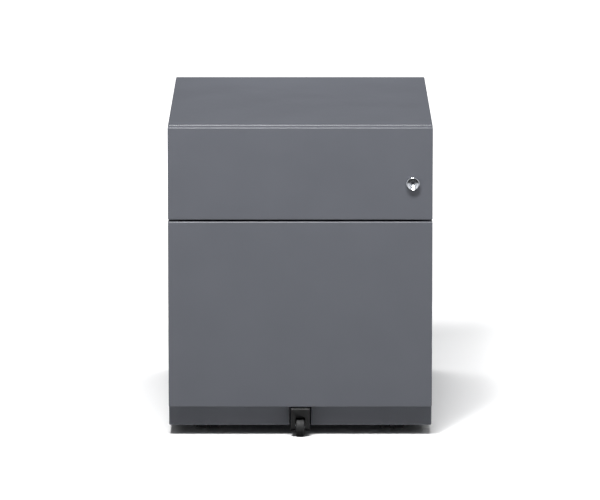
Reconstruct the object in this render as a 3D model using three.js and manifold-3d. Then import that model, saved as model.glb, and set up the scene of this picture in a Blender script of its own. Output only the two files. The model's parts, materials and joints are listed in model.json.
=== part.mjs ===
// A rolling pedestal cabinet: a folded steel case on four twin-wheel castors, with a stationery drawer
// over a filing drawer. Both drawers run on three-part ball-bearing runners. A cam lock in the top front
// lifts a locking bar that blocks both drawers, and a small stabiliser wheel under the filing drawer's
// front stops the cabinet tipping when that drawer is out.
//
// Units are millimetres. +Z is up, the fronts face -Y, and +X is to the right of someone facing them.
// The origin is on the floor, below the middle of the whole cabinet with its lock.
import * as THREE from "three";
import { mergeVertices } from "three/addons/utils/BufferGeometryUtils.js";
import Module from "manifold-3d";

const wasm = await Module();
wasm.setup();

// ---------------------------------------------------------------- driving dimensions

// The whole cabinet.
const WIDTH = 420;
const DEPTH = 565; // from the drawer fronts' faces to the back panel
const HEIGHT = 502;
const SHEET = 1; // steel sheet
const SEAM = 0.3; // between two pieces that touch
const FLOOR_CLEARANCE = 16; // floor to the case's lower edge

// The drawer fronts.
const FRONT_THICKNESS = 18.5;
const FRONT_REVEAL = 1.5; // between the fronts' backs and the case
const FRONT_DROP = 1.5; // case top to the top front's upper edge
const FRONT_SPLIT = 3; // between the two fronts
const TOP_FRONT_HEIGHT = 148;
const PLINTH_SHOWN = 33.5; // height of the plinth that shows under the fronts

// The case.
const GRIP_WIDTH = 14; // finger channel behind each end of the fronts
const GRIP_DEPTH = 22;
const TOP_LIP = 12; // the top's front edge, folded down
const REAR_RETURN = 12; // flanges that the back panel is fixed to
const PAN_FLANGE = 15;
const RAIL_HEIGHT = 22; // cross rail under the top's front edge
const UPRIGHT_DEPTH = 20; // inner channels that carry the runners
const UPRIGHT_WIDTH = 40;
const UPRIGHT_SETBACK = 5; // front uprights, behind the finger channels
const REAR_UPRIGHT_INSET = 30; // rear uprights, in front of the back panel
const FLANGE_GAP = 1.8; // front flanges' inner edges, outside the runners

// The drawers.
const TRAY_HEM = 5; // side walls' top edges, folded inwards
const TRAY_REAR_GAP = 60; // tray to back panel
const TOP_TRAY_RAISE = 8.5; // top tray's floor above its front's lower edge
const TOP_TRAY_HEIGHT = 84;
const FILE_TRAY_RAISE = 8; // filing tray's floor above the case's floor
const FILE_TRAY_HEADROOM = 43; // filing tray's walls to the top tray
const HANGER_HEIGHT = 12; // rails that suspension files hang on
const HANGER_DEPTH = 4;

// The drawer runners.
const RUNNER_THICKNESS = 12.4;
const RUNNER_SHEET = 1.2;
const RACE_GAP = 2.6; // room for the balls between two members
const WEB_GAP = 1.4; // between the case member's web and the middle member's
const TOP_RUNNER_HEIGHT = 35;
const FILE_RUNNER_HEIGHT = 45;
const TOP_RUNNER_RAISE = 15; // runner's middle above the tray's floor
const FILE_RUNNER_RAISE = 123;
const RUNNER_SETBACK = 16; // case members, behind the case's front
const RUNNER_REAR_GAP = 28; // case members to back panel
const RUNNER_STAGGER = 4; // each inner member starts this much further back
const RUNNER_LIP_GAP = 1.9; // case member's flanges, short of the drawer member's web
const DRAWER_MEMBER_SETBACK = 2; // drawer member, behind the tray's front

// The lock and its bar.
const LOCK_PROUD = 7; // bezel in front of the drawer front
const LOCK_SIDE_GAP = 1.1; // lock's nut to the edge of the case's opening
const LOCK_RAISE = 58; // lock's axis above the top front's lower edge
const BEZEL_LIP = 1.6; // bezel's edge outside the barrel
const BEZEL_RIM = 1.5;
const BEZEL_CHAMFER = 0.6;
const BEZEL_STEP = 0.4; // flat rim down to the cone's edge
const BEZEL_DISH = 3; // depth of the cone round the plug
const BARREL_RADIUS = 9.2;
const BARREL_TAIL = 5.7; // barrel behind the front's back
const PLUG_RADIUS = 5.4;
const PLUG_SETBACK = 0.4; // plug's face behind the cone
const PLUG_TAIL_RADIUS = 3;
const PLUG_TAIL_END = 1; // tail behind the cam
const KEYWAY = [7, 1.6, 12]; // width, height, depth
const NUT_WALL = 1.8; // nut's flats outside the barrel
const NUT_THICKNESS = 3;
const CAM_THICKNESS = 2;
const CAM_REACH = 10; // lock's axis to the drive pin
const CAM_PIN_RADIUS = 1.8;
const CAM_PIN_LENGTH = 7.8;
const CAM_END_EDGE = 1.2; // cam's rounded end, round the pin
const CAM_ARM_EDGE = 1; // cam's arm, wider than the pin on each side
const CAM_REST_ANGLE = -Math.PI / 4; // unlocked; a quarter turn locks
const BAR_THICKNESS = 2;
const BAR_WIDTH = 14;
const BAR_WALL_GAP = 0.7; // bar to the finger channel's wall
const BAR_SETBACK = 2; // bar behind the case's front flange
const BAR_TOP_EDGE = 8; // bar above its upper hook
const BAR_BOTTOM = 200;
const BAR_SLOT_PLAY = 0.8; // round the drive pin
const BAR_TAB_EDGE = 3.5; // material above and below the drive pin's slot
const BAR_TAB_END = 2.5; // material at the slot's end
const HOOK_HEIGHT = 9.5;
const HOOK_REACH = 11; // hook's length from the bar
const HOOK_GAP = 2.5; // hooks behind the cam
const HOOK_DROP = 1.5; // hook below its catch while unlocked
const CATCH_HEIGHT = 11;
const CATCH_GAP = 3; // catch behind its hook
const CATCH_BASE = 20;
const CATCH_BAR_GAP = 3; // catch's tip to the bar
const TOP_CATCH_RAISE = 69; // above the top tray's floor
const FILE_CATCH_RAISE = 168; // above the filing tray's floor
const GUIDE_Z = 300;
const GUIDE_FLANGE = 18;
const GUIDE_SETBACK = 1; // guide behind the case's front flange
const LOCK_CUTOUT = { side: 4, height: 5, catchGap: 2 }; // tray's cutout round the barrel, and to the catch

// The twin-wheel castors.
const CASTOR_WHEEL_RADIUS = 22.5;
const CASTOR_WHEEL_WIDTH = 17.2;
const CASTOR_WHEEL_GAP = 6.6; // between a castor's two wheels
const CASTOR_TRAIL = 22; // swivel axis to axle
const CASTOR_INSET_X = 61.5; // swivel axis to the case's side
const CASTOR_INSET_Y = 78; // swivel axis to the case's front or back
const AXLE_RADIUS = 3;
const HOOD_CLEARANCE = 1.7;
const HOOD_THICKNESS = 2.5;
const HOOD_CROWN = 3.6; // swivel boss above the hood's cover
const HOOD_FRONT_ANGLE = 170; // degrees, where the cover starts in front of the wheels
const HOOD_REAR_ANGLE = 40;
const HOOD_WEB_OVERLAP = 0.5; // web let into the cover
const HOOD_FOOT = { radius: 8, from: 200, to: 380 }; // web's round foot about the axle, in degrees
const CROWN_OVERLAP = 2; // crown let into the cover
const BOSS_RADIUS = 7;
const BOSS_HEIGHT = 12;
const KING_PIN_RADIUS = 4;
const KING_PIN_RECESS = 1; // pin's end above the boss's lower face
const AXLE_RECESS = 1; // axle's end inside the wheel's cap
const HUB_WALL = 3.5; // round the axle, on the wheel's inner side
const HUB_TAPER = 0.5;
const WHEEL_DISH = 6; // depth of the hollow on the inner side
const WHEEL_RIM = { wall: 4, taper: 1, chamfer: 1, chamferDepth: 1.5 };
const WHEEL_SHOULDER = { width: 5, radius: 4, end: 1.2 }; // slope to the outer face, and its last step
const RACE_RADIUS = 15;
const RACE_HEIGHT = 2;
const CASTOR_PLATE = 52;
const CASTOR_PLATE_THICKNESS = 2.5;
const CASTOR_SCREW_SPACING = 38;
const CASTOR_SCREW_RADIUS = 2.6;

// The stabiliser wheel under the filing drawer's front.
const STABILISER_RADIUS = 15;
const STABILISER_WIDTH = 13.8;
const STABILISER_SETBACK = 11; // axle behind the fronts' faces
const BRACKET_WIDTH = 30;
const BRACKET_SETBACK = 0.5; // bracket's front behind the fronts' faces
const BRACKET_DEPTH = 34;
const BRACKET_TOP_GAP = 3; // bracket to the front's lower edge
const BRACKET_CHAMFER = 2;
const BRACKET_LEG = { radius: 5.5, from: 215, to: 325 }; // leg's round end about the axle, in degrees
const BRACKET_LEG_DROP = 1; // front face's lower edge, below the axle
const BRACKET_BACK_RAISE = 6; // back face's lower edge, above the axle
const BRACKET_PAD = [24, 13]; // seat against the front's lower return
const STABILISER_ROOF_GAP = 2.5; // wheel to the bracket above it
const STABILISER_SIDE_GAP = 1; // wheel to the bracket's legs and back
const TREAD_CHAMFER = 1;
const STABILISER_AXLE_RADIUS = 2.5;
const STABILISER_AXLE_RECESS = 0.5; // axle's ends inside the bracket's sides
const NOTCH_MARGIN = 2.5; // plinth's notch round the bracket

const PAST = 1; // how far a cutting solid reaches past its piece
const ROUND = 24; // sides of a wheel or a barrel
const FLATNESS = 0.001; // points this close to a flat face lie in it
const SMALL_ROUND = 16; // sides of a pin or a screw hole

// ---------------------------------------------------------------- places worked out from them

const CASE_X = WIDTH / 2;
const WALL_X = CASE_X - SHEET; // inner face of the side
const GRIP_X = CASE_X - GRIP_WIDTH; // finger channel's wall, on the channel's side
const WEB_X = WALL_X - UPRIGHT_DEPTH; // upright's face, on the drawer's side
const RUNNER_X = WEB_X - SEAM; // runner's outer face
const TRAY_X = RUNNER_X - RUNNER_THICKNESS - SEAM; // tray's outer face
const OPENING_X = RUNNER_X + FLANGE_GAP; // inner edge of the case's front flanges

const FRONT_Y = (LOCK_PROUD - DEPTH) / 2; // faces of the drawer fronts
const CASE_FRONT_Y = FRONT_Y + FRONT_THICKNESS + FRONT_REVEAL;
const BACK_Y = FRONT_Y + DEPTH;
const GRIP_BACK_Y = CASE_FRONT_Y + GRIP_DEPTH;
const BACKPLATE_Y = FRONT_Y + FRONT_THICKNESS - SHEET; // outer face of a front's backplate
const TRAY_FRONT_Y = FRONT_Y + FRONT_THICKNESS + SEAM;
const TRAY_BACK_Y = BACK_Y - TRAY_REAR_GAP;
const RUNNER_FRONT_Y = CASE_FRONT_Y + RUNNER_SETBACK;
const RUNNER_BACK_Y = BACK_Y - RUNNER_REAR_GAP;

const HOOD_RADIUS = CASTOR_WHEEL_RADIUS + HOOD_CLEARANCE + HOOD_THICKNESS; // outer
const HOOD_TOP = CASTOR_WHEEL_RADIUS + HOOD_RADIUS + HOOD_CROWN;
const RACE_Z = HOOD_TOP + SEAM;
const CASTOR_PLATE_Z = RACE_Z + RACE_HEIGHT;
const PAN_Z = CASTOR_PLATE_Z + CASTOR_PLATE_THICKNESS + SEAM; // underside of the case's floor
const PAN_TOP = PAN_Z + SHEET;

const TOP_FRONT = { top: HEIGHT - FRONT_DROP, bottom: HEIGHT - FRONT_DROP - TOP_FRONT_HEIGHT };
const FILE_FRONT = { top: TOP_FRONT.bottom - FRONT_SPLIT, bottom: FLOOR_CLEARANCE + PLINTH_SHOWN };
const TOP_TRAY_Z = TOP_FRONT.bottom + TOP_TRAY_RAISE;
const FILE_TRAY_Z = PAN_TOP + FILE_TRAY_RAISE;
const FILE_TRAY_HEIGHT = TOP_TRAY_Z - FILE_TRAY_HEADROOM - FILE_TRAY_Z;

const BEZEL_RADIUS = BARREL_RADIUS + BEZEL_LIP;
const NUT_HALF_WIDTH = BARREL_RADIUS + NUT_WALL;
const LOCK_X = OPENING_X - LOCK_SIDE_GAP - NUT_HALF_WIDTH;
const LOCK_Z = TOP_FRONT.bottom + LOCK_RAISE;
const BARREL_BACK_Y = FRONT_Y + FRONT_THICKNESS + BARREL_TAIL;
const CAM_Y = BARREL_BACK_Y + 2 * SEAM;
const BAR_X = GRIP_X - SHEET - BAR_WALL_GAP; // bar's face towards the wall
const BAR_INNER_X = BAR_X - BAR_THICKNESS;
const BAR_FRONT_Y = CASE_FRONT_Y + SHEET + BAR_SETBACK;
const BAR_Y = [BAR_FRONT_Y, BAR_FRONT_Y + BAR_WIDTH];
const HOOK_FRONT_Y = CAM_Y + CAM_THICKNESS + HOOK_GAP;
const HOOK_Y = [HOOK_FRONT_Y, HOOK_FRONT_Y + BAR_THICKNESS];
const CAM_PIN_Z = LOCK_Z + CAM_REACH * Math.sin(CAM_REST_ANGLE);
const CATCH_Y = HOOK_Y[1] + CATCH_GAP;

const STABILISER_Y = FRONT_Y + STABILISER_SETBACK;
const BRACKET_TOP = FILE_FRONT.bottom - BRACKET_TOP_GAP;

// ---------------------------------------------------------------- materials

const paint = new THREE.MeshStandardMaterial({ color: 0x62656c, roughness: 0.55, metalness: 0.0 });
const innerPaint = new THREE.MeshStandardMaterial({ color: 0x5a5d64, roughness: 0.6, metalness: 0.0 });
const zinc = new THREE.MeshStandardMaterial({ color: 0xb9bcc0, roughness: 0.35, metalness: 1.0 });
const chrome = new THREE.MeshStandardMaterial({ color: 0xd8dade, roughness: 0.08, metalness: 1.0 });
const blackNylon = new THREE.MeshStandardMaterial({ color: 0x1c1c1d, roughness: 0.5, metalness: 0.0 });
const blackTread = new THREE.MeshStandardMaterial({ color: 0x242425, roughness: 0.7, metalness: 0.0 });

// ---------------------------------------------------------------- solids

/**
 * Makes a closed three.js geometry into a solid that can be joined and cut. Its points are rounded to a
 * thousandth, so that two faces meant to lie in one plane do.
 */
function solid(geometry) {
  const bare = geometry.clone();
  bare.deleteAttribute("normal");
  bare.deleteAttribute("uv");
  const merged = mergeVertices(bare, 1e-4);
  const places = merged.attributes.position.array;
  return new wasm.Manifold(
    new wasm.Mesh({
      numProp: 3,
      vertProperties: Float32Array.from(places, (v) => Math.round(v * 1000) / 1000),
      triVerts: Uint32Array.from(merged.index.array),
    }),
  );
}

/** Joins solids into one. */
function join(first, ...others) {
  return others.reduce((whole, part) => whole.add(part), first);
}

/** Cuts solids out of the first one. */
function cut(first, ...others) {
  return others.reduce((rest, part) => rest.subtract(part), first);
}

/** A box between two values on each axis, in either order. */
function box(xs, ys, zs) {
  const sizes = [xs, ys, zs].map(([a, b]) => Math.abs(b - a));
  const middles = [xs, ys, zs].map(([a, b]) => (a + b) / 2);
  return solid(new THREE.BoxGeometry(...sizes).translate(...middles));
}

/** Turns a geometry that was made along +Y so that it runs along the given axis. */
function along(axis, geometry) {
  if (axis === "x") return geometry.rotateZ(-Math.PI / 2);
  if (axis === "z") return geometry.rotateX(Math.PI / 2);
  return geometry;
}

/** A round bar from one value to another along an axis, about a point given by the other two values. */
function rod(axis, radius, [from, to], [u, v], sides = SMALL_ROUND) {
  const made = along(axis, new THREE.CylinderGeometry(radius, radius, Math.abs(to - from), sides));
  const middle = (from + to) / 2;
  const centre = { x: [middle, u, v], y: [u, middle, v], z: [u, v, middle] }[axis];
  return solid(made.translate(...centre));
}

/** A body turned about an axis. A point is [radius, place along the axis], with the outside going up. */
function turned(axis, points, sides = ROUND) {
  const profile = points.map(([radius, place]) => new THREE.Vector2(radius, place));
  profile.push(profile[0].clone());
  // Half a step round puts a flat side at the bottom of a body turned about X.
  return solid(along(axis, new THREE.LatheGeometry(profile, sides, Math.PI / sides)));
}

/** A flat outline in the YZ plane, given as [y, z] points, spread along X between two values. */
function extrudedAlongX(points, [from, to]) {
  const outline = new THREE.Shape(points.map(([y, z]) => new THREE.Vector2(y, z)));
  const made = new THREE.ExtrudeGeometry(outline, { depth: to - from, bevelEnabled: false });
  // The outline's x and y become the cabinet's y and z, and the depth becomes its x.
  const turn = new THREE.Matrix4().makeBasis(
    new THREE.Vector3(0, 1, 0),
    new THREE.Vector3(0, 0, 1),
    new THREE.Vector3(1, 0, 0),
  );
  return solid(made.applyMatrix4(turn).translate(from, 0, 0));
}

/** Points on an arc about [y, z], from one angle to another, in degrees from +Y towards +Z. */
function arc([y, z], radius, from, to, steps) {
  const points = [];
  for (let i = 0; i <= steps; i += 1) {
    const angle = THREE.MathUtils.degToRad(from + ((to - from) * i) / steps);
    points.push([y + radius * Math.cos(angle), z + radius * Math.sin(angle)]);
  }
  return points;
}

/** Turns a finished solid into a named mesh, with each flat face in as few triangles as it needs. */
function piece(name, material, made) {
  const { vertProperties, triVerts } = made.asOriginal().simplify(FLATNESS).getMesh();
  const geometry = new THREE.BufferGeometry();
  geometry.setAttribute("position", new THREE.BufferAttribute(vertProperties, 3));
  geometry.setIndex(new THREE.BufferAttribute(triVerts, 1));
  geometry.computeVertexNormals();
  const mesh = new THREE.Mesh(geometry, material);
  mesh.name = name;
  return mesh;
}

/** A group that holds the given meshes or groups. */
function group(...children) {
  const made = new THREE.Group();
  made.add(...children);
  return made;
}

const SIDES = { left: -1, right: 1 };

// ---------------------------------------------------------------- the case

/** Top and both sides, folded from one sheet, with a finger channel at each front corner. */
function caseShell() {
  const top = box([-CASE_X, CASE_X], [CASE_FRONT_Y, BACK_Y], [HEIGHT - SHEET, HEIGHT]);
  const lip = box([-CASE_X, CASE_X], [CASE_FRONT_Y, CASE_FRONT_Y + SHEET], [HEIGHT - TOP_LIP, HEIGHT]);
  const walls = Object.values(SIDES).map((side) => {
    const inner = [side * WALL_X, side * CASE_X];
    const channel = [side * (GRIP_X - SHEET), side * GRIP_X];
    const rising = [PAN_TOP + SEAM, HEIGHT];
    const rearReturn = [side * (WALL_X - REAR_RETURN), side * CASE_X];
    return join(
      box(inner, [GRIP_BACK_Y, BACK_Y], [FLOOR_CLEARANCE, HEIGHT]),
      box([channel[0], inner[1]], [GRIP_BACK_Y, GRIP_BACK_Y + SHEET], rising),
      box(channel, [CASE_FRONT_Y, GRIP_BACK_Y + SHEET], rising),
      box([side * OPENING_X, channel[1]], [CASE_FRONT_Y, CASE_FRONT_Y + SHEET], rising),
      box(rearReturn, [BACK_Y - 2 * SHEET - SEAM, BACK_Y - SHEET - SEAM], [FLOOR_CLEARANCE, HEIGHT]),
    );
  });
  return piece("case_shell", paint, join(top, lip, ...walls));
}

/** Flat back panel, set between the sides. */
function backPanel() {
  const half = WALL_X - SEAM;
  const panel = box([-half, half], [BACK_Y - SHEET, BACK_Y], [FLOOR_CLEARANCE, HEIGHT - SHEET - SEAM]);
  return piece("back_panel", paint, panel);
}

/** Floor of the case, with its side and rear edges folded down. */
function basePan() {
  const half = WALL_X - SEAM;
  const ys = [GRIP_BACK_Y + SHEET + SEAM, BACK_Y - 2 * SHEET - 2 * SEAM];
  const edge = [PAN_Z - PAN_FLANGE, PAN_TOP];
  const floor = box([-half, half], ys, [PAN_Z, PAN_TOP]);
  const left = box([-half, SHEET - half], ys, edge);
  const right = box([half - SHEET, half], ys, edge);
  const rear = box([-half, half], [ys[1] - SHEET, ys[1]], edge);
  return piece("base_pan", innerPaint, join(floor, left, right, rear));
}

/** Plinth under the fronts: a shallow folded pan, notched for the stabiliser. */
function plinthRail() {
  const outer = box([-CASE_X, CASE_X], [CASE_FRONT_Y, GRIP_BACK_Y - SEAM], [FLOOR_CLEARANCE, PAN_TOP]);
  const hollow = box(
    [-WALL_X, WALL_X],
    [CASE_FRONT_Y + SHEET, GRIP_BACK_Y],
    [FLOOR_CLEARANCE + SHEET, PAN_TOP - SHEET],
  );
  const half = BRACKET_WIDTH / 2 + NOTCH_MARGIN;
  const notch = box([-half, half], [CASE_FRONT_Y - 1, GRIP_BACK_Y], [0, FILE_FRONT.bottom - SEAM]);
  return piece("plinth_rail", paint, cut(outer, hollow, notch));
}

/** Cross rail under the top's front edge. */
function topFrontRail() {
  const half = GRIP_X - SHEET - SEAM;
  const front = CASE_FRONT_Y + SHEET + SEAM;
  const top = HEIGHT - SHEET - SEAM;
  const outer = box([-half, half], [front, GRIP_BACK_Y], [top - RAIL_HEIGHT, top]);
  const hollow = box(
    [-CASE_X, CASE_X],
    [front + SHEET, GRIP_BACK_Y + 1],
    [top - RAIL_HEIGHT + SHEET, top - SHEET],
  );
  return piece("top_front_rail", innerPaint, cut(outer, hollow));
}

/** Inner channel that carries the runners, from the floor to the top. */
function upright(name, side, frontY) {
  const back = frontY + UPRIGHT_WIDTH;
  const zs = [PAN_TOP + SEAM, HEIGHT - SHEET - SEAM];
  const reach = [side * WEB_X, side * (WALL_X - SEAM)];
  const web = box([side * WEB_X, side * (WEB_X + SHEET)], [frontY, back], zs);
  const front = box(reach, [frontY, frontY + SHEET], zs);
  const rear = box(reach, [back - SHEET, back], zs);
  return piece(name, innerPaint, join(web, front, rear));
}

function uprights() {
  const frontY = GRIP_BACK_Y + UPRIGHT_SETBACK;
  const rearY = BACK_Y - REAR_UPRIGHT_INSET - UPRIGHT_WIDTH;
  return Object.entries(SIDES).flatMap(([name, side]) => [
    upright(`upright_front_${name}`, side, frontY),
    upright(`upright_rear_${name}`, side, rearY),
  ]);
}

// ---------------------------------------------------------------- drawer runners

/** A channel whose web is the sheet at x = web, and whose two flanges reach x = tip. */
function channel(side, web, tip, height, ys, z) {
  const towards = Math.sign(tip - web);
  const top = z + height / 2;
  const bottom = z - height / 2;
  return join(
    box([side * web, side * (web + towards * RUNNER_SHEET)], ys, [bottom, top]),
    box([side * web, side * tip], ys, [top - RUNNER_SHEET, top]),
    box([side * web, side * tip], ys, [bottom, bottom + RUNNER_SHEET]),
  );
}

/** The three members of one runner, nested, with room for the balls between their flanges. */
function runner(drawer, sideName, height, z) {
  const side = SIDES[sideName];
  const step = 2 * (RUNNER_SHEET + RACE_GAP);
  const inner = RUNNER_X - RUNNER_THICKNESS;
  const middleWeb = RUNNER_X - RUNNER_SHEET - WEB_GAP;
  const caseYs = [RUNNER_FRONT_Y, RUNNER_BACK_Y];
  const middleYs = [RUNNER_FRONT_Y + RUNNER_STAGGER, RUNNER_BACK_Y - RUNNER_STAGGER];
  const drawerYs = [TRAY_FRONT_Y + DRAWER_MEMBER_SETBACK, RUNNER_BACK_Y - 2 * RUNNER_STAGGER];
  const caseMember = channel(side, RUNNER_X, inner + RUNNER_LIP_GAP, height, caseYs, z);
  const middle = channel(side, middleWeb, inner + RUNNER_SHEET, height - step, middleYs, z);
  const drawerTip = middleWeb - RUNNER_SHEET - WEB_GAP;
  const drawerMember = channel(side, inner, drawerTip, height - 2 * step, drawerYs, z);
  return {
    caseMember: piece(`${drawer}_runner_case_${sideName}`, zinc, caseMember),
    middle: piece(`${drawer}_runner_middle_${sideName}`, zinc, middle),
    drawerMember: piece(`${drawer}_runner_drawer_${sideName}`, zinc, drawerMember),
  };
}

// ---------------------------------------------------------------- drawers

/** Round hole for the lock, through everything at the drawer's front. */
function lockHole(radius) {
  return rod("y", radius, [FRONT_Y - PAST, BARREL_BACK_Y], [LOCK_X, LOCK_Z], ROUND);
}

/** Drawer front: a folded pan, open at the back. */
function drawerFront(name, { top, bottom }, ...holes) {
  const outer = box([-CASE_X, CASE_X], [FRONT_Y, FRONT_Y + FRONT_THICKNESS], [bottom, top]);
  const hollow = box(
    [-WALL_X, WALL_X],
    [FRONT_Y + SHEET, FRONT_Y + FRONT_THICKNESS + PAST],
    [bottom + SHEET, top - SHEET],
  );
  return piece(name, paint, cut(outer, hollow, ...holes));
}

/** Plate that closes the back of a drawer front. */
function backplate(name, { top, bottom }, ...holes) {
  const half = WALL_X - SEAM;
  const inset = SHEET + SEAM;
  const plate = box([-half, half], [BACKPLATE_Y, BACKPLATE_Y + SHEET], [bottom + inset, top - inset]);
  return piece(name, paint, cut(plate, ...holes));
}

/** Open steel box, with the top edges of its side walls folded inwards. */
function tray(name, floorZ, height, ...holes) {
  const top = floorZ + height;
  const outer = box([-TRAY_X, TRAY_X], [TRAY_FRONT_Y, TRAY_BACK_Y], [floorZ, top]);
  const inner = TRAY_X - SHEET;
  const ys = [TRAY_FRONT_Y + SHEET, TRAY_BACK_Y - SHEET];
  const below = box([-inner, inner], ys, [floorZ + SHEET, top - SHEET]);
  const mouth = box([TRAY_HEM - inner, inner - TRAY_HEM], ys, [floorZ + SHEET, top + PAST]);
  return piece(name, innerPaint, cut(outer, below, mouth, ...holes));
}

/** Catch on the drawer's right side: a foot on the tray's wall and a tab that the bar's hook stops. */
function drawerCatch(name, z) {
  const foot = TRAY_X + SEAM;
  const tip = BAR_INNER_X - CATCH_BAR_GAP;
  const zs = [z, z + CATCH_HEIGHT];
  return piece(
    name,
    zinc,
    join(
      box([foot, foot + SHEET], [CATCH_Y, CATCH_Y + CATCH_BASE], zs),
      box([foot, tip], [CATCH_Y, CATCH_Y + BAR_THICKNESS], zs),
    ),
  );
}

/** Rail along the top of the filing tray's wall, for suspension files. */
function hangingRail(name, side) {
  const wall = TRAY_X - SHEET - SEAM;
  const top = FILE_TRAY_Z + FILE_TRAY_HEIGHT - SHEET - SEAM;
  const ys = [TRAY_FRONT_Y + SHEET + SEAM, TRAY_BACK_Y - SHEET - SEAM];
  const shelf = top - HANGER_HEIGHT;
  const edge = wall - HANGER_DEPTH - TRAY_HEM;
  return piece(
    name,
    zinc,
    join(
      box([side * (wall - RUNNER_SHEET), side * wall], ys, [top - 2 * HANGER_HEIGHT, top]),
      box([side * edge, side * wall], ys, [shelf - RUNNER_SHEET, shelf]),
      box([side * (edge - RUNNER_SHEET), side * edge], ys, [shelf - RUNNER_SHEET, top + HANGER_HEIGHT / 2]),
    ),
  );
}

// ---------------------------------------------------------------- lock

/** Places solids that were made about the Y axis on the lock's axis. */
function onLockAxis(made) {
  return made.translate([LOCK_X, 0, LOCK_Z]);
}

/** Chromed barrel: a bezel in front of the drawer front, with a cone down to the plug, and a round body. */
function lockBarrel() {
  const face = FRONT_Y - LOCK_PROUD;
  const seat = FRONT_Y - SEAM;
  const bore = PLUG_RADIUS + SEAM;
  return piece(
    "lock_barrel",
    chrome,
    onLockAxis(
      turned("y", [
        [bore, face + BEZEL_DISH],
        [BEZEL_RADIUS - BEZEL_RIM, face + BEZEL_STEP],
        [BEZEL_RADIUS - BEZEL_RIM, face],
        [BEZEL_RADIUS - BEZEL_CHAMFER, face],
        [BEZEL_RADIUS, face + BEZEL_CHAMFER],
        [BEZEL_RADIUS, seat],
        [BARREL_RADIUS, seat],
        [BARREL_RADIUS, BARREL_BACK_Y],
        [bore, BARREL_BACK_Y],
      ]),
    ),
  );
}

/** Hexagonal nut that clamps the barrel to the front's backplate. */
function lockNut() {
  const y = TRAY_FRONT_Y + SHEET + SEAM;
  const corner = NUT_HALF_WIDTH / Math.cos(Math.PI / 6);
  const hexagon = rod("y", corner, [y, y + NUT_THICKNESS], [LOCK_X, LOCK_Z], 6);
  return piece("lock_nut", zinc, cut(hexagon, lockHole(BARREL_RADIUS + SEAM)));
}

/** Plug that the key turns, with its keyway and the tail that carries the cam. */
function lockPlug() {
  const face = FRONT_Y - LOCK_PROUD + BEZEL_DISH + PLUG_SETBACK;
  const end = CAM_Y + CAM_THICKNESS + PLUG_TAIL_END;
  const body = turned("y", [
    [0, face],
    [PLUG_RADIUS, face],
    [PLUG_RADIUS, BARREL_BACK_Y],
    [PLUG_TAIL_RADIUS, BARREL_BACK_Y],
    [PLUG_TAIL_RADIUS, end],
    [0, end],
  ]);
  const [width, height, depth] = KEYWAY;
  const keyway = box([-width / 2, width / 2], [face - PAST, face + depth], [-height / 2, height / 2]);
  return piece("lock_plug", chrome, onLockAxis(cut(body, keyway)));
}

/** Cam on the plug's tail, with the drive pin that lifts the locking bar. */
function lockCam() {
  const ys = [CAM_Y, CAM_Y + CAM_THICKNESS];
  const armHalf = CAM_PIN_RADIUS + CAM_ARM_EDGE;
  const hub = rod("y", 2 * PLUG_TAIL_RADIUS, ys, [0, 0]);
  const end = rod("y", CAM_PIN_RADIUS + CAM_END_EDGE, ys, [CAM_REACH, 0]);
  const arm = box([0, CAM_REACH], ys, [-armHalf, armHalf]);
  const pin = rod("y", CAM_PIN_RADIUS, [CAM_Y, ys[1] + CAM_PIN_LENGTH], [CAM_REACH, 0]);
  const bore = rod("y", PLUG_TAIL_RADIUS + SEAM, [CAM_Y - PAST, ys[1] + PAST], [0, 0]);
  // A positive turn about Y lowers +X, so the rest angle is turned the other way.
  const turn = [0, -THREE.MathUtils.radToDeg(CAM_REST_ANGLE), 0];
  const cam = cut(join(hub, end, arm, pin), bore).rotate(turn);
  return piece("lock_cam", zinc, onLockAxis(cam));
}

/** Locking bar: a flat strip with a slotted tab for the drive pin and a hook for each drawer. */
function lockingBar(hookTops) {
  const stripTop = Math.max(...hookTops) + BAR_TOP_EDGE;
  const strip = box([BAR_INNER_X, BAR_X], BAR_Y, [BAR_BOTTOM, stripTop]);
  const slotHalf = CAM_PIN_RADIUS + BAR_SLOT_PLAY;
  const pinNear = LOCK_X + CAM_REACH * Math.cos(CAM_REST_ANGLE) - slotHalf;
  const pinFar = LOCK_X + CAM_REACH + slotHalf;
  const tabHalf = slotHalf + BAR_TAB_EDGE;
  const tabXs = [pinNear - BAR_TAB_END, BAR_INNER_X];
  const tab = box(tabXs, HOOK_Y, [CAM_PIN_Z - tabHalf, CAM_PIN_Z + tabHalf]);
  const slotYs = [HOOK_Y[0] - PAST, HOOK_Y[1] + PAST];
  const slot = box([pinNear, pinFar], slotYs, [CAM_PIN_Z - slotHalf, CAM_PIN_Z + slotHalf]);
  const hookXs = [BAR_INNER_X - HOOK_REACH, BAR_INNER_X];
  const hooks = hookTops.map((top) => box(hookXs, HOOK_Y, [top - HOOK_HEIGHT, top]));
  return piece("locking_bar", zinc, cut(join(strip, tab, ...hooks), slot));
}

/** Guide for the bar: a plate with a slot, on a flange against the front upright. */
function lockBarGuide() {
  const back = GRIP_BACK_Y + UPRIGHT_SETBACK - SEAM;
  const front = CASE_FRONT_Y + SHEET + GUIDE_SETBACK;
  const top = GUIDE_Z + SHEET;
  const xs = [WEB_X + SEAM, GRIP_X - SHEET - SEAM];
  const flange = box(xs, [back - SHEET, back], [GUIDE_Z - GUIDE_FLANGE, top]);
  const plate = box(xs, [front, back], [GUIDE_Z, top]);
  const slotYs = [BAR_Y[0] - SEAM, BAR_Y[1] + SEAM];
  const slot = box([BAR_INNER_X - SEAM, CASE_X], slotYs, [GUIDE_Z - PAST, top + PAST]);
  return piece("lock_bar_guide", zinc, cut(join(flange, plate), slot));
}

// ---------------------------------------------------------------- castors

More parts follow.
